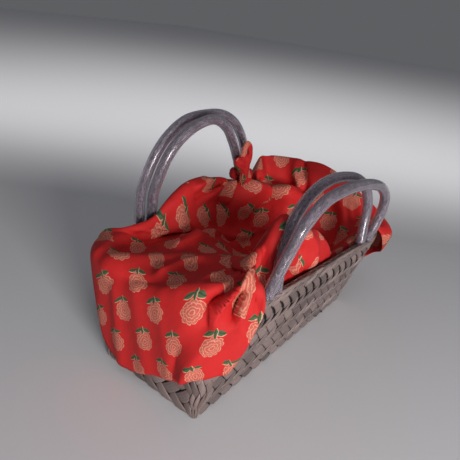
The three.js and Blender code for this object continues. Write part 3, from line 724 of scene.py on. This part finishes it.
def core(name, route, material):
    """Flat bands plaited round a straight filling"""
    line, length = handle_line(route, CORE_STEPS)
    wide, deep, _ = curve_axes(line)
    batch = Batch()
    filling = sweep(line, circle(CORE_RADIUS - CORE_FILLING, CORE_SIDES))
    faces = grid_faces(len(line), CORE_SIDES, wrap_columns=True)
    batch.add(filling.reshape(-1, 3), faces, np.zeros((len(line) * CORE_SIDES, 2)), 0.0)
    faces = grid_faces(len(line), len(STRAND_PROFILE))
    at = np.linspace(0, length, len(line))
    for hand, phase in ((1, 0), (-1, math.pi)):
        for k in range(CORE_STRANDS):
            angle = TURN * (hand * at / CORE_PITCH + k / CORE_STRANDS)
            weave = np.cos(CORE_STRANDS * TURN * at / CORE_PITCH + phase)
            radius = CORE_RADIUS - CORE_SINK + CORE_WEAVE * weave
            rows = []
            for offset, drop in STRAND_PROFILE:
                a = angle + offset
                r = radius - drop
                rows.append(line + (r * np.cos(a))[:, None] * wide + (r * np.sin(a))[:, None] * deep)
            points = np.stack(rows, 1)
            uv = np.stack(np.meshgrid(at, np.linspace(-1, 1, len(rows)), indexing="ij"), -1)
            batch.add(points.reshape(-1, 3), faces, uv.reshape(-1, 2), rng.uniform(0, 1))
    piece = batch.build(f"plait_{name}", material)
    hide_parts(f"core_{name}")
    return piece


# Cloth

TABLE = {column: np.array([row[k] for row in SECTIONS], float) for k, column in enumerate(COLUMNS)}


def section_value(column, index):
    """Smooth value of a column between sections, going round"""
    numbers = TABLE[column]
    count = len(numbers)
    i = np.floor(index).astype(int)
    t = index - i
    turn = 4 if column == "place" else 0

    def value(k):
        return numbers[k % count] + turn * (k // count)

    p0, p1, p2, p3 = value(i - 1), value(i), value(i + 1), value(i + 2)
    m1, m2 = (p2 - p0) / 2, (p3 - p1) / 2
    t2, t3 = t ** 2, t ** 3
    return (2 * t3 - 3 * t2 + 1) * p1 + (t3 - 2 * t2 + t) * m1 + (3 * t2 - 2 * t3) * p2 + (t3 - t2) * m2


def profile_points(index):
    """The points that the cloth goes through at a section, from its hem to the bowl's lowest point"""
    get = {column: float(section_value(column, np.array(index))) for column in COLUMNS}
    place, top, hem, out = get["place"], get["top"], get["hem"], get["out"]
    ridge, normal = outline(place, HEIGHT, -get["inset"])
    ridge[2] = top
    half = lerp(hem, top, 0.5)
    beside = lerp(half, max(half, HEIGHT - 1), smooth((out + EDGE_BLEND) / (2 * EDGE_BLEND)))

    def outside(z, extra):
        lean = get["lean"] * (beside - z) / (beside - hem)
        point = outline(place + lean, min(z, HEIGHT), out + extra)[0]
        point[2] = z
        return point

    bowl = np.array(BOWL, float)

    def inside(share, z, step=0):
        point = lerp(ridge, bowl, share) - normal * step
        point[2] = z
        return point

    return np.array([
        outside(hem, 0),
        outside(lerp(hem, beside, 0.5), 1),
        outside(beside, 0),
        ridge,
        inside(SHELF_SHARE, get["shelf"], SHELF_STEP),
        inside(MIDDLE_SHARE, get["middle"]),
        inside(DEEP_SHARE, get["deep"]),
        bowl,
    ])


def bent_line(start, via, end, count=40):
    t = np.linspace(0, 1, count)[:, None]
    start, via, end = (np.array(p, float) for p in (start, via, end))
    return (1 - t) ** 2 * start + 2 * t * (1 - t) * via + t ** 2 * end


def inner_folds(points):
    """Height that the inner folds add at points"""
    total = np.zeros(points.shape[:-1])
    for start, via, end, width, height in INNER_FOLDS:
        line = bent_line(start, via, end)
        gap = np.linalg.norm(points[..., None, :2] - line, axis=-1).min(-1)
        total += height * np.exp(-((gap / width) ** 2))
    return total


def outer_folds(place, down):
    """How far the outer folds stand out, with down 0 at the ridge and 1 at the hem"""
    total = 0
    for at, lean, width, height in OUTER_FOLDS:
        off = (place - at - lean * down + 6) % 4 - 2
        total = total + height * np.exp(-((off / width) ** 2)) * np.minimum(1, RIDGE_FOLD_SHARE + down)
    return total


def view_axes(place, target, roll):
    """Directions ahead, to the right and upwards of something at a place that looks at a target"""
    ahead = unit(np.array(target) - np.array(place))
    right = unit(np.cross(ahead, (0, 0, 1)))
    up = np.cross(right, ahead)
    cosine, sine = math.cos(math.radians(roll)), math.sin(math.radians(roll))
    return ahead, right * cosine + up * sine, up * cosine - right * sine


def seen_on(grid):
    """A function that gives the point of the grid's surface seen at a pixel of the photograph"""
    rows, columns = grid.shape[:2]
    corner = grid.reshape(-1, 3)
    quads = grid_faces(rows, columns, wrap_rows=True)
    triangles = np.concatenate([quads[:, [0, 1, 2]], quads[:, [0, 2, 3]]])
    origin = corner[triangles[:, 0]]
    first = corner[triangles[:, 1]] - origin
    second = corner[triangles[:, 2]] - origin
    eye = np.array(CAMERA_PLACE)
    ahead, across, upward = view_axes(CAMERA_PLACE, CAMERA_TARGET, CAMERA_ROLL)
    focal = CAMERA_LENS / SENSOR_WIDTH * PHOTO_PIXELS
    middle = PHOTO_PIXELS / 2
    aside = eye - origin
    turned = np.cross(aside, first)

    def seen(pixel):
        ray = unit(ahead + across * (pixel[0] - middle) / focal - upward * (pixel[1] - middle) / focal)
        square = np.cross(ray, second)
        size = np.sum(first * square, 1)
        size = np.where(np.abs(size) > 1e-9, size, np.inf)
        u = np.sum(aside * square, 1) / size
        v = np.sum(turned * ray, 1) / size
        distance = np.sum(second * turned, 1) / size
        met = (u >= 0) & (v >= 0) & (u + v <= 1) & (distance > 0)
        if not met.any():
            raise ValueError(f"no cloth is seen at pixel {pixel}")
        return eye + ray * distance[met].min()

    return seen


CREASE_STEPS = 40
EDGE_WIDTH = 1.0
EDGE_RISE = 0.4

# How deep a trough may be beside the basket and above it, and between which heights that changes
ROOM_BESIDE = 2.0
ROOM_ABOVE = 16.0
ROOM_FROM = 93
ROOM_SPAN = 14


def creased(grid, creases):
    """The grid with its creases.

    An edge stands out on its left side, seen from outside along its points, and drops on its right side.
    """
    normal = grid_normals(grid)
    room = lerp(ROOM_BESIDE, ROOM_ABOVE, smooth((grid[..., 2] - ROOM_FROM) / ROOM_SPAN))
    rise = np.zeros(grid.shape[:2])
    for crease in creases:
        line = catmull(crease["points"], np.linspace(0, 1, CREASE_STEPS))
        tangent = unit(np.gradient(line, axis=0))
        gap = np.full(grid.shape[:2], np.inf)
        beside = np.zeros(grid.shape[:2])
        for point, ahead in zip(line, tangent):
            away = grid - point
            distance = np.linalg.norm(away, axis=-1)
            nearer = distance < gap
            gap[nearer] = distance[nearer]
            beside[nearer] = np.sum(np.cross(normal, ahead) * away, -1)[nearer]
        soft = crease["height"] * np.exp(-((gap / crease["width"]) ** 2))
        if crease.get("edge"):
            soft = soft * np.clip(beside / EDGE_WIDTH, -1, EDGE_RISE)
        rise += soft
    return grid + normal * np.maximum(rise, -room)[..., None]


def cloth_grid(rows_per_section, steps):
    """The cloth's middle surface: rows of points from the hem to the bowl's lowest point"""
    t = np.linspace(0, 1, steps + 1)
    down = np.maximum(0, 1 - t / RIDGE_AT)
    inward = smooth((t - RIDGE_AT) / (SHELF_AT - RIDGE_AT))
    rows = []
    for index in np.arange(len(SECTIONS) * rows_per_section) / rows_per_section:
        place = float(section_value("place", np.array(index)))
        _, normal = outline(place, HEIGHT)
        row = catmull(profile_points(index), t)
        row = row + normal * (outer_folds(place, down) * (down > 0))[:, None]
        rows.append(row)
    grid = np.array(rows)
    grid[..., 2] += inward * inner_folds(grid)
    return grid


def grid_normals(grid):
    around = np.roll(grid, -1, 0) - np.roll(grid, 1, 0)
    along = np.gradient(grid, axis=1)
    normal = unit(np.cross(around, along))
    normal[:, -1] = (0, 0, 1)
    return normal


# The print's flat coordinates

FLATTEN_ROUNDS = 80
LEAST_WEIGHT = 0.05
MOST_WEIGHT = 5


def flatten(points, triangles, start, pins):
    """Flat places of a bent sheet's points that keep every triangle as nearly its own shape as they can"""
    count = len(points)
    p = points[triangles]
    edges = [(0, 1), (1, 2), (2, 0)]
    first = p[:, 1] - p[:, 0]
    second = p[:, 2] - p[:, 0]
    length = np.maximum(np.linalg.norm(first, axis=1), 1e-6)
    ahead = np.sum(first * second, 1) / length
    square = np.cross(first, second)
    beside = np.linalg.norm(square, axis=1) / length
    zero = np.zeros_like(length)
    corner_places = ([zero, zero], [length, zero], [ahead, beside])
    local = np.stack([np.stack(place, 1) for place in corner_places], 1)
    matrix = np.zeros((count, count))
    weights = []
    for a, b in edges:
        c = 3 - a - b
        u, v = local[:, a] - local[:, c], local[:, b] - local[:, c]
        area = np.abs(u[:, 0] * v[:, 1] - u[:, 1] * v[:, 0])
        weight = np.clip(np.sum(u * v, 1) / np.maximum(area, 1e-6), LEAST_WEIGHT, MOST_WEIGHT) / 2
        weights.append(weight)
        i, j = triangles[:, a], triangles[:, b]
        np.add.at(matrix, (i, i), weight)
        np.add.at(matrix, (j, j), weight)
        np.add.at(matrix, (i, j), -weight)
        np.add.at(matrix, (j, i), -weight)
    wanted = np.zeros((count, 2))
    for index, place in pins:
        matrix[index, index] += PIN_WEIGHT
        wanted[index] += PIN_WEIGHT * np.asarray(place, float)
    inverse = np.linalg.inv(matrix)
    flat = start.copy()
    for _ in range(FLATTEN_ROUNDS):
        q = flat[triangles]
        cover = np.zeros((len(triangles), 2, 2))
        for (a, b), weight in zip(edges, weights):
            bent = q[:, a] - q[:, b]
            own = local[:, a] - local[:, b]
            cover += weight[:, None, None] * bent[:, :, None] * own[:, None, :]
        angle = np.arctan2(cover[:, 1, 0] - cover[:, 0, 1], cover[:, 0, 0] + cover[:, 1, 1])
        turn = np.stack([np.cos(angle), -np.sin(angle), np.sin(angle), np.cos(angle)], 1).reshape(-1, 2, 2)
        right = wanted.copy()
        for (a, b), weight in zip(edges, weights):
            pull = weight[:, None] * np.einsum("nij,nj->ni", turn, local[:, a] - local[:, b])
            np.add.at(right, triangles[:, a], pull)
            np.add.at(right, triangles[:, b], -pull)
        flat = inverse @ right
    return flat


def flat_places(creases, blooms, steps_per_section=2, steps=24):
    """Flat coordinates in millimetres on a coarse grid of the cloth: (rows, steps + 1, 2)"""
    plain = cloth_grid(steps_per_section, steps)
    plain_points = np.concatenate([plain[:, :-1].reshape(-1, 3), plain[:1, -1]])
    grid = creased(plain, creases)
    rows = len(grid)
    points = np.concatenate([grid[:, :-1].reshape(-1, 3), grid[:1, -1]])
    pole = len(points) - 1
    index = np.arange(rows * steps).reshape(rows, steps)
    below = np.roll(index, -1, 0)
    quads = np.stack([index[:, :-1], below[:, :-1], below[:, 1:], index[:, 1:]], -1).reshape(-1, 4)
    triangles = np.concatenate([
        quads[:, [0, 1, 2]], quads[:, [0, 2, 3]],
        np.stack([index[:, -1], below[:, -1], np.full(rows, pole)], -1),
    ])
    lengths = np.linalg.norm(np.diff(grid, axis=1), axis=-1)
    from_bowl = np.concatenate([np.cumsum(lengths[:, ::-1], 1)[:, ::-1], np.zeros((rows, 1))], 1)
    ridge = grid[:, round(RIDGE_AT * steps), :2] - np.array(BOWL[:2])
    start = unit(ridge)[:, None] * from_bowl[..., None]
    start = np.concatenate([start[:, :-1].reshape(-1, 2), start[:1, -1]])
    pins = []
    for place, along, up in blooms:
        nearest = int(np.argmin(np.linalg.norm(plain_points - place, axis=1)))
        pins.append((nearest, (along * PRINT_STEP, (up + BLOOM_AT) * PRINT_ROW)))
    flat = flatten(points, triangles, start, pins)
    out = np.zeros((rows, steps + 1, 2))
    out[:, :-1] = flat[:-1].reshape(rows, steps, 2)
    out[:, -1] = flat[-1]
    return out


def refine(coarse, rows, columns):
    """A periodic coarse grid read at more rows and columns"""
    count, steps = coarse.shape[:2]
    wrapped = np.concatenate([coarse, coarse[:1]])
    at = np.arange(rows) * count / rows
    i = np.floor(at).astype(int)
    t = (at - i)[:, None, None]
    tall = wrapped[i] * (1 - t) + wrapped[i + 1] * t
    at = np.linspace(0, steps - 1, columns)
    j = np.minimum(np.floor(at).astype(int), steps - 2)
    t = (at - j)[None, :, None]
    return tall[:, j] * (1 - t) + tall[:, j + 1] * t


def cloth(material):
    plain = cloth_grid(ROWS_PER_SECTION, PROFILE_STEPS)
    seen = seen_on(plain)
    creases = [{**crease, "points": [seen(pixel) for pixel in crease["pixels"]]} for crease in CREASES]
    blooms = [
        (seen(pixel), row["along"] + k, row["up"])
        for row in BLOOM_ROWS
        for k, pixel in enumerate(row["pixels"])
    ]
    grid = creased(plain, creases)
    rows, columns = grid.shape[:2]
    uv = refine(flat_places(creases, blooms), rows, columns) / np.array([PRINT_STEP, PRINT_ROW])
    normal = grid_normals(grid)
    upper = grid + normal * CLOTH_THICKNESS / 2
    lower = grid - normal * CLOTH_THICKNESS / 2
    points = []
    faces = []
    coordinates = []
    for sheet, flip in ((upper, False), (lower, True)):
        base = sum(len(p) for p in points)
        body = sheet[:, :-1].reshape(-1, 3)
        points.append(np.concatenate([body, sheet[:1, -1]]))
        coordinates.append(np.concatenate([uv[:, :-1].reshape(-1, 2), uv[:1, -1]]))
        quads = grid_faces(rows, columns - 1, wrap_rows=True) + base
        index = np.arange(rows) * (columns - 1) + columns - 2 + base
        pole = base + len(body)
        fan = [(int(a), int(pole), int(b)) for a, b in zip(index, np.roll(index, -1))]
        block = [tuple(q) for q in quads] + fan
        faces += [f[::-1] for f in block] if flip else block
    half = rows * (columns - 1) + 1
    edge = np.arange(rows) * (columns - 1)
    for a, b in zip(edge, np.roll(edge, -1)):
        faces.append((int(a), int(b), int(b + half), int(a + half)))
    piece = make_mesh("handkerchief", np.concatenate(points), faces, material, uv=np.concatenate(coordinates))
    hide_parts("cloth")
    return piece


def gathered_section(angles, wide, deep, pleats, depth, twist):
    """A tube's section drawn into pleats: (line, side, 2). twist has one angle for each point of the line."""
    angle, turn = np.meshgrid(angles, twist, indexing="xy")
    size = 1 - depth + depth * np.abs(np.cos((angle + turn) * pleats / 2)) ** 0.7
    return np.stack([wide * size * np.cos(angle), deep * size * np.sin(angle)], -1)


WRAP_STEPS = 120
WRAP_SIDES = 56
WRAP_PLEATS = 9
WRAP_PLEAT_DEPTH = 0.16
WRAP_TWIST = 0.5
STRAND_STEPS = 90
STRAND_SIDES = 48
STRAND_PLEAT_DEPTH = 0.2
STRAND_END_SIZE = 0.5
STRAND_TAPER = 6


def knot_wrap(material):
    steps, sides = WRAP_STEPS, WRAP_SIDES
    angles = TURN * np.arange(steps) / steps
    line = np.stack([KNOT_HALF_LONG * np.cos(angles), KNOT_HALF_SHORT * np.sin(angles), 0 * angles], -1)
    tilt, turn = math.radians(KNOT_TILT), math.radians(KNOT_TURN)
    x = line[:, 0] * math.cos(tilt)
    z = -line[:, 0] * math.sin(tilt)
    y = line[:, 1]
    line = np.stack([x * math.cos(turn) - y * math.sin(turn), x * math.sin(turn) + y * math.cos(turn), z], -1)
    line += np.array(KNOT_PLACE)
    tangent = unit(np.roll(line, -1, 0) - np.roll(line, 1, 0))
    up = unit(np.array([0, 0, 1]) - tangent * tangent[:, 2:])
    outward = np.cross(up, tangent)
    around = TURN * np.arange(sides) / sides
    twist = WRAP_TWIST * np.sin(angles * 2)
    size = (KNOT_HALF_DEPTH, KNOT_HALF_HEIGHT)
    section = gathered_section(around, *size, WRAP_PLEATS, WRAP_PLEAT_DEPTH, twist)
    points = sweep(line, section, axes=(outward, up, tangent))
    length = np.cumsum(np.linalg.norm(line - np.roll(line, 1, 0), axis=1))
    uv = np.stack(np.meshgrid(length, around * KNOT_HALF_HEIGHT, indexing="ij"), -1)
    faces = grid_faces(steps, sides, wrap_rows=True, wrap_columns=True)
    uv = uv / np.array([PRINT_STEP, PRINT_ROW])
    return make_mesh("knot_wrap", points.reshape(-1, 3), faces[:, ::-1], material, uv=uv.reshape(-1, 2))


def knot_strand(name, strand, material):
    steps, sides = STRAND_STEPS, STRAND_SIDES
    line, length = even_curve(strand["points"], steps)
    around = TURN * np.arange(sides) / sides
    twist = strand["twist"] * np.linspace(0, 1, steps) * math.pi
    size = (strand["wide"], strand["deep"])
    section = gathered_section(around, *size, strand["pleats"] * 2 - 1, STRAND_PLEAT_DEPTH, twist)
    share = np.linspace(0, 1, steps)
    taper = np.minimum(1, STRAND_END_SIZE + STRAND_TAPER * np.minimum(share, 1 - share))
    section = section * taper[:, None, None]
    rings = sweep(line, section, axes=curve_axes(line))
    points = np.concatenate([rings.reshape(-1, 3), line[:1], line[-1:]])
    faces = [tuple(int(v) for v in f) for f in grid_faces(steps, sides, wrap_columns=True)]
    last = (steps - 1) * sides
    for a in range(sides):
        b = (a + 1) % sides
        faces.append((b, a, steps * sides))
        faces.append((last + a, last + b, steps * sides + 1))
    uv = np.stack(np.meshgrid(share * length, around * strand["wide"], indexing="ij"), -1).reshape(-1, 2)
    uv = np.concatenate([uv, uv[:1], uv[-1:]]) / np.array([PRINT_STEP, PRINT_ROW])
    return make_mesh(f"knot_{name}", points, faces, material, uv=uv)


# Materials

def srgb(red, green, blue):
    """A colour from 0 to 255 as the shader wants it"""
    def linear(c):
        c = c / 255
        return c / 12.92 if c <= 0.04045 else ((c + 0.055) / 1.055) ** 2.4
    return (linear(red), linear(green), linear(blue), 1.0)


class Nodes:
    """Short calls for building a material's nodes"""

    def __init__(self, name):
        self.material = bpy.data.materials.new(name)
        self.material.use_nodes = True
        self.tree = self.material.node_tree
        self.shader = self.tree.nodes["Principled BSDF"]

    def node(self, kind, inputs=None, **settings):
        made = self.tree.nodes.new(kind)
        for key, value in settings.items():
            setattr(made, key, value)
        for key, value in (inputs or {}).items():
            self.put(made.inputs[key], value)
        return made

    def put(self, socket, value):
        if isinstance(value, bpy.types.NodeSocket):
            self.tree.links.new(value, socket)
        else:
            socket.default_value = value

    def math(self, operation, a, b=0.0, c=0.0):
        made = self.tree.nodes.new("ShaderNodeMath")
        made.operation = operation
        for socket, value in zip(made.inputs, (a, b, c)):
            self.put(socket, value)
        return made.outputs[0]

    def add(self, a, b):
        return self.math("ADD", a, b)

    def sub(self, a, b):
        return self.math("SUBTRACT", a, b)

    def mul(self, a, b):
        return self.math("MULTIPLY", a, b)

    def step(self, value, edge, blur):
        """1 where value is under edge, 0 where it is over, with a soft change"""
        made = self.node("ShaderNodeMapRange", interpolation_type="SMOOTHSTEP")
        self.put(made.inputs["Value"], value)
        low = self.math("SUBTRACT", edge, blur) if isinstance(edge, bpy.types.NodeSocket) else edge - blur
        high = self.math("ADD", edge, blur) if isinstance(edge, bpy.types.NodeSocket) else edge + blur
        self.put(made.inputs["From Min"], low)
        self.put(made.inputs["From Max"], high)
        self.put(made.inputs["To Min"], 1.0)
        self.put(made.inputs["To Max"], 0.0)
        return made.outputs["Result"]

    def mix(self, share, a, b):
        made = self.node("ShaderNodeMix", data_type="RGBA")
        self.put(made.inputs["Factor"], share)
        self.put(made.inputs[6], a)
        self.put(made.inputs[7], b)
        return made.outputs[2]

    def bump(self, height, strength, distance):
        made = self.node("ShaderNodeBump", {"Height": height, "Strength": strength, "Distance": distance})
        self.put(self.shader.inputs["Normal"], made.outputs[0])


BAND_GRAIN = 0.9
BAND_RIBS = 3.1
BAND_TONE_SHARE = 0.6
BAND_GRAIN_SHARE = 0.4


def band_material(name, light, dark):
    n = Nodes(name)
    tone = n.node("ShaderNodeAttribute", attribute_name="tone").outputs["Fac"]
    uv = n.node("ShaderNodeUVMap", uv_map="flat").outputs[0]
    parts = n.node("ShaderNodeSeparateXYZ", {0: uv})
    across = parts.outputs["Y"]
    grain = n.node("ShaderNodeTexNoise", {"Vector": uv, "Scale": BAND_GRAIN, "Detail": 3.0})
    ribs = n.math("SINE", n.mul(across, BAND_RIBS))
    shade = n.add(n.mul(tone, BAND_TONE_SHARE), n.mul(grain.outputs["Fac"], BAND_GRAIN_SHARE))
    n.put(n.shader.inputs["Base Color"], n.mix(shade, dark, light))
    n.put(n.shader.inputs["Roughness"], 0.34)
    n.put(n.shader.inputs["Anisotropic"], 0.6)
    tangent = n.node("ShaderNodeTangent", direction_type="UV_MAP", uv_map="flat")
    n.put(n.shader.inputs["Tangent"], tangent.outputs[0])
    n.bump(n.add(n.mul(ribs, 0.5), grain.outputs["Fac"]), strength=0.35, distance=0.00025)
    return n.material


def shade_backing_material():
    n = Nodes("painted_shade_backing")
    grain = n.node("ShaderNodeTexNoise", {"Scale": 300.0})
    # Near-black colour: painted shade for the gaps between the bands
    n.put(n.shader.inputs["Base Color"], n.mix(grain.outputs["Fac"], srgb(12, 9, 8), srgb(24, 18, 16)))
    n.put(n.shader.inputs["Roughness"], 0.8)
    return n.material


def vinyl_material():
    n = Nodes("clear_vinyl")
    # Clear vinyl passing nine tenths of the light. Its pale lavender base colour, a tenth of it diffuse, is
    # painted reflection that lightens the tube
    n.put(n.shader.inputs["Base Color"], srgb(220, 213, 224))
    n.put(n.shader.inputs["Roughness"], 0.13)
    n.put(n.shader.inputs["IOR"], 1.38)
    n.put(n.shader.inputs["Transmission Weight"], 0.9)
    return n.material


# Rings of petals, from the bloom's edge to its middle: radius in millimetres, number of petals and turn
PETAL_RINGS = ((8.8, 9, 0.0), (6.6, 8, 0.8), (4.3, 6, 0.3), (2.1, 4, 0.0))
PETAL_LUCK = 0.6
LOBE_SHARPNESS = 0.6
LOBE_DEPTH = 0.17
BLOOM_DROP = 1.5
BLOOM_SQUASH = 1.1
STROKES_ROUND = 11
STROKE_SWIRL = 0.5


def petal_ring(n, angle, luck, base, petals, phase):
    """The radius of a ring of petals at each angle"""
    lobe = n.math("COSINE", n.add(n.mul(angle, petals / 2), n.add(phase, n.mul(luck, PETAL_LUCK))))
    lobe = n.math("ABSOLUTE", lobe)
    return n.mul(n.add(n.mul(n.math("POWER", lobe, LOBE_SHARPNESS), LOBE_DEPTH), 1 - LOBE_DEPTH), base)


def ring_lines(n, radius, rings, inset, width, blur):
    """Lines that follow the rings a little inside them"""
    lines = [n.step(n.math("ABSOLUTE", n.sub(radius, n.sub(ring, inset))), width, blur) for ring in rings]
    joined = lines[0]
    for line in lines[1:]:
        joined = n.math("MAXIMUM", joined, line)
    return joined


def print_bloom(n, x, y, luck, blur):
    """The bloom's fill, pale lines and dark lines. x and y are millimetres from its middle."""
    angle = n.math("ARCTAN2", x, n.add(y, BLOOM_DROP))
    radius = n.math("SQRT", n.add(n.mul(x, x), n.mul(y, n.mul(y, BLOOM_SQUASH))))
    rings = [petal_ring(n, angle, luck, *ring) for ring in PETAL_RINGS]
    fill = n.step(radius, rings[0], blur)
    pale = ring_lines(n, radius, rings, inset=0.3, width=0.32, blur=blur)
    dark = ring_lines(n, radius, rings, inset=1.15, width=0.3, blur=blur)
    strokes = n.add(n.mul(angle, STROKES_ROUND), n.mul(radius, STROKE_SWIRL))
    strokes = n.math("ABSOLUTE", n.math("SINE", strokes))
    strokes = n.mul(n.step(strokes, 0.35, 0.25), n.math("SMOOTH_MIN", n.mul(radius, 0.12), 0.8, 0.2))
    return fill, pale, dark, strokes


def print_leaf(n, x, y, place, length, width, angle, blur):
    """A pointed leaf, its pale lower edge and its dark middle. x and y are as for the bloom."""
    turn = math.radians(angle)
    dx, dy = n.sub(x, place[0]), n.sub(y, place[1])
    along = n.add(n.mul(dx, math.cos(turn)), n.mul(dy, math.sin(turn)))
    across = n.sub(n.mul(dy, math.cos(turn)), n.mul(dx, math.sin(turn)))
    share = n.mul(along, 2 / length)
    half = n.mul(n.sub(1.0, n.mul(share, share)), width / 2)
    body = n.step(n.math("ABSOLUTE", across), half, blur)
    pale = n.step(n.math("ABSOLUTE", n.add(across, 0.55)), half, blur)
    middle = n.step(n.math("ABSOLUTE", n.sub(across, 0.2)), 0.3, blur)
    return body, pale, middle


LEAVES = (
    {"place": (-4.2, 9.9), "length": 8.6, "width": 3.3, "angle": 17},
    {"place": (4.2, 9.9), "length": 8.6, "width": 3.3, "angle": -17},
    {"place": (0.2, 10.0), "length": 7, "width": 2.4, "angle": 86},
)


PRINT_BLUR = 0.18
PRINT_WOBBLE = 2.2


def cloth_material():
    n = Nodes("printed_cotton")
    uv = n.node("ShaderNodeUVMap", uv_map="flat").outputs[0]
    parts = n.node("ShaderNodeSeparateXYZ", {0: uv})
    u, v = parts.outputs["X"], parts.outputs["Y"]
    row = n.math("FLOOR", v)
    odd = n.math("FRACT", n.mul(row, 0.5))
    shifted = n.add(u, odd)
    column = n.math("FLOOR", shifted)
    wobble = n.node("ShaderNodeTexNoise", {"Vector": uv, "Scale": 9.0, "Detail": 2.0})
    wobble = n.node("ShaderNodeSeparateXYZ", {0: wobble.outputs["Color"]})
    x = n.mul(n.sub(n.math("FRACT", shifted), 0.5), PRINT_STEP)
    y = n.mul(n.sub(n.math("FRACT", v), BLOOM_AT), PRINT_ROW)
    x = n.add(x, n.mul(n.sub(wobble.outputs["X"], 0.5), PRINT_WOBBLE))
    y = n.add(y, n.mul(n.sub(wobble.outputs["Y"], 0.5), PRINT_WOBBLE))
    cell = n.node("ShaderNodeCombineXYZ", {"X": column, "Y": row}).outputs[0]
    luck = n.node("ShaderNodeTexWhiteNoise", {"Vector": cell}, noise_dimensions="2D").outputs["Value"]
    fill, pale, dark, strokes = print_bloom(n, x, y, luck, PRINT_BLUR)
    dye = n.node("ShaderNodeTexNoise", {"Vector": uv, "Scale": 1.6, "Detail": 4.0}).outputs["Fac"]
    ground = n.mix(dye, srgb(186, 18, 20), srgb(206, 26, 26))
    petal = n.mix(luck, srgb(184, 82, 68), srgb(200, 100, 82))
    petal = n.mix(n.mul(strokes, 0.65), petal, srgb(220, 150, 122))
    petal = n.mix(n.mul(dark, 0.6), petal, srgb(184, 66, 58))
    petal = n.mix(n.mul(pale, 0.55), petal, srgb(228, 164, 138))
    colour = n.mix(fill, ground, petal)
    for leaf in LEAVES:
        body, edge, middle = print_leaf(n, x, y, blur=PRINT_BLUR, **leaf)
        colour = n.mix(n.mul(edge, 0.85), colour, srgb(214, 170, 138))
        green = n.mix(n.mul(middle, 0.7), srgb(68, 92, 58), srgb(32, 36, 26))
        colour = n.mix(body, colour, green)
    n.put(n.shader.inputs["Base Color"], colour)
    n.put(n.shader.inputs["Roughness"], 0.8)
    place = n.node("ShaderNodeTexCoord").outputs["Object"]
    rumple = n.node("ShaderNodeTexNoise", {"Vector": place, "Scale": 70.0, "Detail": 3.0}).outputs["Fac"]
    n.bump(rumple, strength=0.6, distance=0.0016)
    return n.material


# Scene

def look_at_matrix(place, target, roll):
    ahead, across, upward = view_axes(place, target, roll)
    matrix = Matrix.Identity(4)
    for k in range(3):
        matrix[k][0], matrix[k][1], matrix[k][2] = across[k], upward[k], -ahead[k]
        matrix[k][3] = place[k] * MM
    return matrix


def add_camera():
    data = bpy.data.cameras.new("camera")
    data.lens = CAMERA_LENS
    data.sensor_width = SENSOR_WIDTH
    data.clip_start = 0.01
    data.clip_end = 20
    camera = bpy.data.objects.new("camera", data)
    camera.matrix_world = look_at_matrix(CAMERA_PLACE, CAMERA_TARGET, CAMERA_ROLL)
    bpy.context.scene.collection.objects.link(camera)
    bpy.context.scene.camera = camera


def add_area_light(name, place, target, size, power, colour):
    data = bpy.data.lights.new(name, "AREA")
    data.size = size
    data.energy = power
    data.color = colour
    light = bpy.data.objects.new(name, data)
    light.matrix_world = look_at_matrix(place, target, 0)
    bpy.context.scene.collection.objects.link(light)


# Soft lights: place and target in millimetres, size in metres and power in watts
LIGHTS = {
    "key": {
        "place": (-560, -1020, 270), "target": (0, 0, 90),
        "size": 0.34, "power": 11.8, "colour": (1.0, 0.985, 0.96),
    },
    "back": {
        "place": (900, 650, 1300), "target": (2500, 1800, 50),
        "size": 2.4, "power": 20, "colour": (1, 1, 1),
    },
    "top": {
        "place": (-500, -500, 1100), "target": (0, 0, 60),
        "size": 0.7, "power": 1.6, "colour": (0.95, 0.97, 1.0),
    },
}


def add_lights():
    world = bpy.data.worlds.new("studio")
    world.use_nodes = True
    background = world.node_tree.nodes["Background"]
    background.inputs["Color"].default_value = (0.86, 0.88, 0.93, 1)
    background.inputs["Strength"].default_value = 0.13
    bpy.context.scene.world = world
    for name, light in LIGHTS.items():
        add_area_light(name, **light)


FLOOR_DROP = 0.2
FLOOR_SIZE = 6000


def add_floor():
    n = Nodes("floor")
    n.put(n.shader.inputs["Base Color"], srgb(236, 235, 238))
    n.put(n.shader.inputs["Roughness"], 0.9)
    size = FLOOR_SIZE
    points = [(-size, -size, 0), (size, -size, 0), (size, size, 0), (-size, size, 0)]
    floor = make_mesh("floor", points, [(0, 1, 2, 3)], n.material, False)
    floor.location.z = -FLOOR_DROP * MM


def main():
    add_camera()
    add_lights()
    add_floor()
    band = band_material("band", srgb(154, 133, 129), srgb(62, 48, 45))
    # The inside of the wall takes a darker copy of the band colours: painted shade
    shaded_inner_band = band_material("shaded_inner_band", srgb(120, 100, 94), srgb(70, 56, 52))
    outer = weave_wall(band)
    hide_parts("basket")
    rest = [weave_inside(shaded_inner_band), shaded_backing(shade_backing_material()), rim_folds(band), weave_base(band)]
    for piece in (outer, *rest):
        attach(piece, "root")
    vinyl = vinyl_material()
    plait = band_material("core_band", srgb(182, 168, 172), srgb(78, 66, 70))
    for name, route in ROUTES.items():
        for piece, slot in ((tube(name, route, vinyl), "tube"), (core(name, route, plait), "core")):
            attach(piece, "root")
    cotton = cloth_material()
    handkerchief = cloth(cotton)
    knot = [knot_wrap(cotton), *(knot_strand(name, strand, cotton) for name, strand in STRANDS.items())]
    for piece in (handkerchief, *knot):
        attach(piece, "root")
    scene = bpy.context.scene
    scene.view_settings.view_transform = "Standard"
    scene.cycles.use_denoising = True
    scene.cycles.max_bounces = 12
    scene.cycles.transmission_bounces = 10


main()
bpy.context.view_layer.update()
